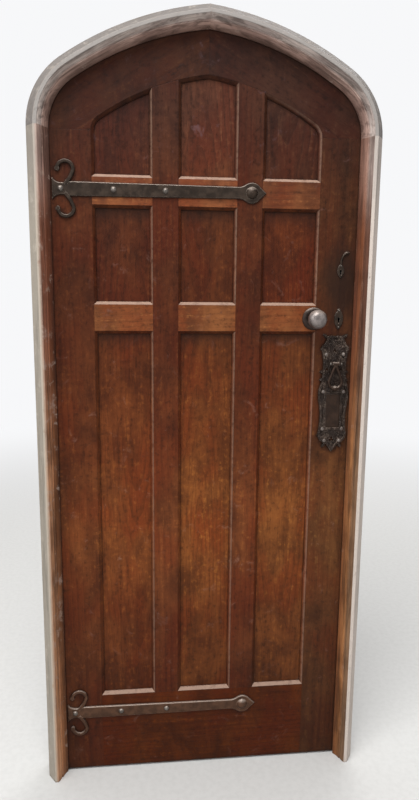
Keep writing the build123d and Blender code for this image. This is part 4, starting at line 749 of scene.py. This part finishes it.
def inset_outline(points, inset):
    """The outline moved inward, each edge by the inset and by what its groove hides, more at the foot."""
    foot = min(point.y for point in points)
    edges = []
    for start, end in zip(points, points[1:] + points[:1]):
        along = (end - start).normalized()
        hidden = PANEL_FOOT_BURIED if max(start.y, end.y) < foot + CLOSE else PANEL_BURIED
        edges.append((start + Vector((-along.y, along.x)) * (hidden + inset), along))
    moved = []
    for (first, first_along), (second, second_along) in zip(edges[-1:] + edges[:-1], edges):
        turn = first_along.cross(second_along)
        reach = (second - first).cross(second_along) / turn if abs(turn) > CLOSE else 0.0
        moved.append(first + first_along * reach if reach else second)
    return moved


def plant_chamfers(name, material):
    """A chamfer on both faces of the leaf, from the edge of the opening down to the panel.

    On each face it is a closed moulding, of four rings of corners. The back's is the front's turned over, so
    its faces run the other way round.
    """
    outline = panel_outline(name)
    outer, inner = inset_outline(outline, 0.0), inset_outline(outline, CHAMFER)
    count = len(outline)
    vertices, faces = [], []
    for face, slope_foot, bottom in CHAMFER_DEPTHS:
        first = len(vertices)
        rings = ((outer, face), (inner, slope_foot), (inner, bottom), (outer, bottom))
        for corners, depth in rings:
            vertices += [(point.x, depth, point.y) for point in corners]
        for number in range(len(rings)):
            here, there = first + number * count, first + (number + 1) % len(rings) * count
            for start in range(count):
                end = (start + 1) % count
                quad = (here + start, here + end, there + end, there + start)
                faces.append(quad if face else quad[::-1])
    piece = add_mesh(name + "_chamfer", vertices, faces, material)
    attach(piece, "leaf")


# The frame's members: the turn of the grain, where it is taken from, the tones and how much is scuffed
FRAME_MEMBERS = {
    "jamb_left": (UPRIGHT, (0.1, 0.05, 0.4), JAMB_LEFT_TONES, 0.9),
    "jamb_right": (UPRIGHT, (0.7, 0.05, 1.4), JAMB_RIGHT_TONES, 0.3),
    "frame_head_left": (-HEAD_LEAN, (0.2, 0.04, 0.3), HEAD_TONES, 0.6),
    "frame_head_right": (HEAD_LEAN, (0.5, 0.04, 2.3), HEAD_TONES, 0.5),
}
FRAME_HEART_ASIDE, FRAME_HEART_DEPTH = 0.02, 0.05


def dress_frame():
    """The lime has peeled on the left jamb only. The key at the crown is oak like the leaf's."""
    for name, (turn, shift, tones, scuffs) in FRAME_MEMBERS.items():
        heart = heart_of(name, FRAME_HEART_ASIDE, FRAME_HEART_DEPTH)
        dress([name], frame_oak(name + "_oak", turn, shift, heart, tones, scuffs, name == "jamb_left"))
    key_heart = heart_of("frame_crown_key", 0.0, HEART_DEPTH)
    dress(["frame_crown_key"], oak("crown_key_oak", STILE_OAK, LEVEL, (0.0, 0.0, 0.0), key_heart))


# Each iron: the nodes of it, its dark and its rubbed tone, and what else sets it apart
STRAP_BLACK = rgb(0.024, 0.016, 0.011)
CAST_BLACK = rgb(0.016, 0.0092, 0.0064)
CAST_WORN = rgb(0.200, 0.150, 0.115)
LOCK_BLACK = rgb(0.014, 0.014, 0.015)
HINGES = (
    "hinge_plate_upper_frame", "hinge_plate_lower_frame", "hinge_plate_upper_leaf", "hinge_plate_lower_leaf",
    "hinge_pins",
)
BOLTWORK = ("latch_bolt", "dead_bolt", "upper_bolt", "spindle", "lock_follower", "latch_spring")
PINS = ("strap_studs", "keyhole_pins", "knocker_pin", "flap_pin")
PAINTED = ("lock_case", "lock_plate", "upper_lock_case", "lock_keep", "upper_keep")
IRONS = {
    "strap_iron": (("upper_strap",), STRAP_BLACK, rgb(0.42, 0.35, 0.29), {}),
    "lower_strap_iron": (("lower_strap",), rgb(0.062, 0.030, 0.017), rgb(0.40, 0.30, 0.22), {"rust": 0.6}),
    "plate_iron": (
        ("keyhole_plate", "upper_keyhole_plate"), STRAP_BLACK, rgb(0.24, 0.19, 0.16), {"rust": 0.4}
    ),
    "flap_iron": (
        ("letter_flap", "knocker"), rgb(0.024, 0.0130, 0.0082), rgb(0.22, 0.165, 0.125), {"roughness": 0.40}
    ),
    "pin_iron": (PINS, rgb(0.110, 0.096, 0.084), rgb(0.46, 0.41, 0.37), {"rust": 0.1, "roughness": 0.34}),
    "knob_iron": (
        ("outer_knob", "inner_knob"),
        rgb(0.150, 0.130, 0.122),
        rgb(0.42, 0.38, 0.36),
        {"rust": 0.1, "roughness": 0.34},
    ),
    "rose_iron": (
        ("outer_rose",), rgb(0.020, 0.013, 0.010), rgb(0.24, 0.20, 0.17), {"rust": 0.35, "roughness": 0.46}
    ),
    "hinge_iron": (HINGES, rgb(0.060, 0.050, 0.042), rgb(0.30, 0.27, 0.24), {"rust": 0.35, "roughness": 0.5}),
    "lock_steel": (
        BOLTWORK,
        rgb(0.28, 0.27, 0.26),
        rgb(0.55, 0.54, 0.52),
        {"rust": 0.05, "roughness": 0.30, "metal": 1.0, "dust_and_sheen": 0.1},
    ),
    "screw_steel": (
        ("frame_screws", "leaf_screws"),
        rgb(0.12, 0.10, 0.09),
        rgb(0.50, 0.46, 0.42),
        {"rust": 0.2, "roughness": 0.36},
    ),
}


def dress_metal():
    for name, (pieces, dark, rubbed_and_highlit, settings) in IRONS.items():
        dress(pieces, iron(name, dark, rubbed_and_highlit, **settings))
    dress(["letter_plate"], cast_iron("cast_iron", CAST_BLACK, CAST_WORN))
    dress(PAINTED, painted_iron("lock_paint", LOCK_BLACK))


# Stage: a pale floor that fades into the sky, a sky that is brighter to the camera than to the door, and soft
# lamps above, to the left and behind
FLOOR_REACH = 14.0
FLOOR_COLOUR = rgb(0.55, 0.545, 0.53)
FLOOR_PATCH = rgb(0.49, 0.485, 0.47)
FLOOR_MOTTLE = (60.0, 4.0, 0.6)
FADE_START = 1.6
FADE_END = 4.8
SKY_COLOUR = rgb(0.98, 0.985, 1.0)
SKY_STRENGTH = 0.70
SKY_SEEN = 0.95

# The lamps' places, sizes and powers, and the place on the door that they face
LAMPS = {
    "overhead": ((-0.7, -1.8, 4.6), 2.4, 180),
    "left": ((-3.6, -2.6, 2.6), 2.4, 55),
    "rear": ((1.5, 3.4, 4.2), 3.0, 90),
}
LAMP_TARGET = (0.0, 0.0, 1.0)


def floor_paint():
    shader = Shader("floor")
    place = shader.place()
    patchy = shader.between(shader.noise(place, *FLOOR_MOTTLE), 0.35, 0.7, 0.0, 0.5)
    reach = shader.vector_math("LENGTH", place).outputs["Value"]
    far = shader.between(reach, FADE_START, FADE_END)
    return shader.finished({
        "Base Color": shader.mix(far, shader.mix(patchy, FLOOR_COLOUR, FLOOR_PATCH), BLACK),
        "Emission Color": SKY_COLOUR,
        "Emission Strength": shader.times(far, SKY_SEEN),
        "Roughness": 0.9,
        "Specular IOR Level": 0.0,
    })


def make_floor():
    corners = [(x * FLOOR_REACH, y * FLOOR_REACH, 0) for x, y in ((-1, -1), (1, -1), (1, 1), (-1, 1))]
    floor = add_mesh("floor", corners, [(0, 1, 2, 3)], floor_paint())


def make_sky():
    world = bpy.data.worlds.new("sky")
    world.use_nodes = True
    bpy.context.scene.world = world
    tree = world.node_tree
    background = tree.nodes["Background"]
    background.inputs["Color"].default_value = SKY_COLOUR
    paths = tree.nodes.new("ShaderNodeLightPath")
    strength = tree.nodes.new("ShaderNodeMapRange")
    strength.inputs["To Min"].default_value = SKY_STRENGTH
    strength.inputs["To Max"].default_value = SKY_SEEN
    tree.links.new(paths.outputs["Is Camera Ray"], strength.inputs["Value"])
    tree.links.new(strength.outputs[0], background.inputs["Strength"])


def make_lamps():
    for name, (place, size, power) in LAMPS.items():
        data = bpy.data.lights.new(name, "AREA")
        data.shape = "DISK"
        data.size = size
        data.energy = power
        lamp = add_object(name, data)
        lamp.location = place
        lamp.rotation_euler = (Vector(LAMP_TARGET) - Vector(place)).to_track_quat("-Z", "Y").to_euler()


make_camera()
make_floor()
make_sky()
make_lamps()
dress_leaf()
dress_frame()
dress_metal()

bpy.context.scene.view_settings.view_transform = "Standard"
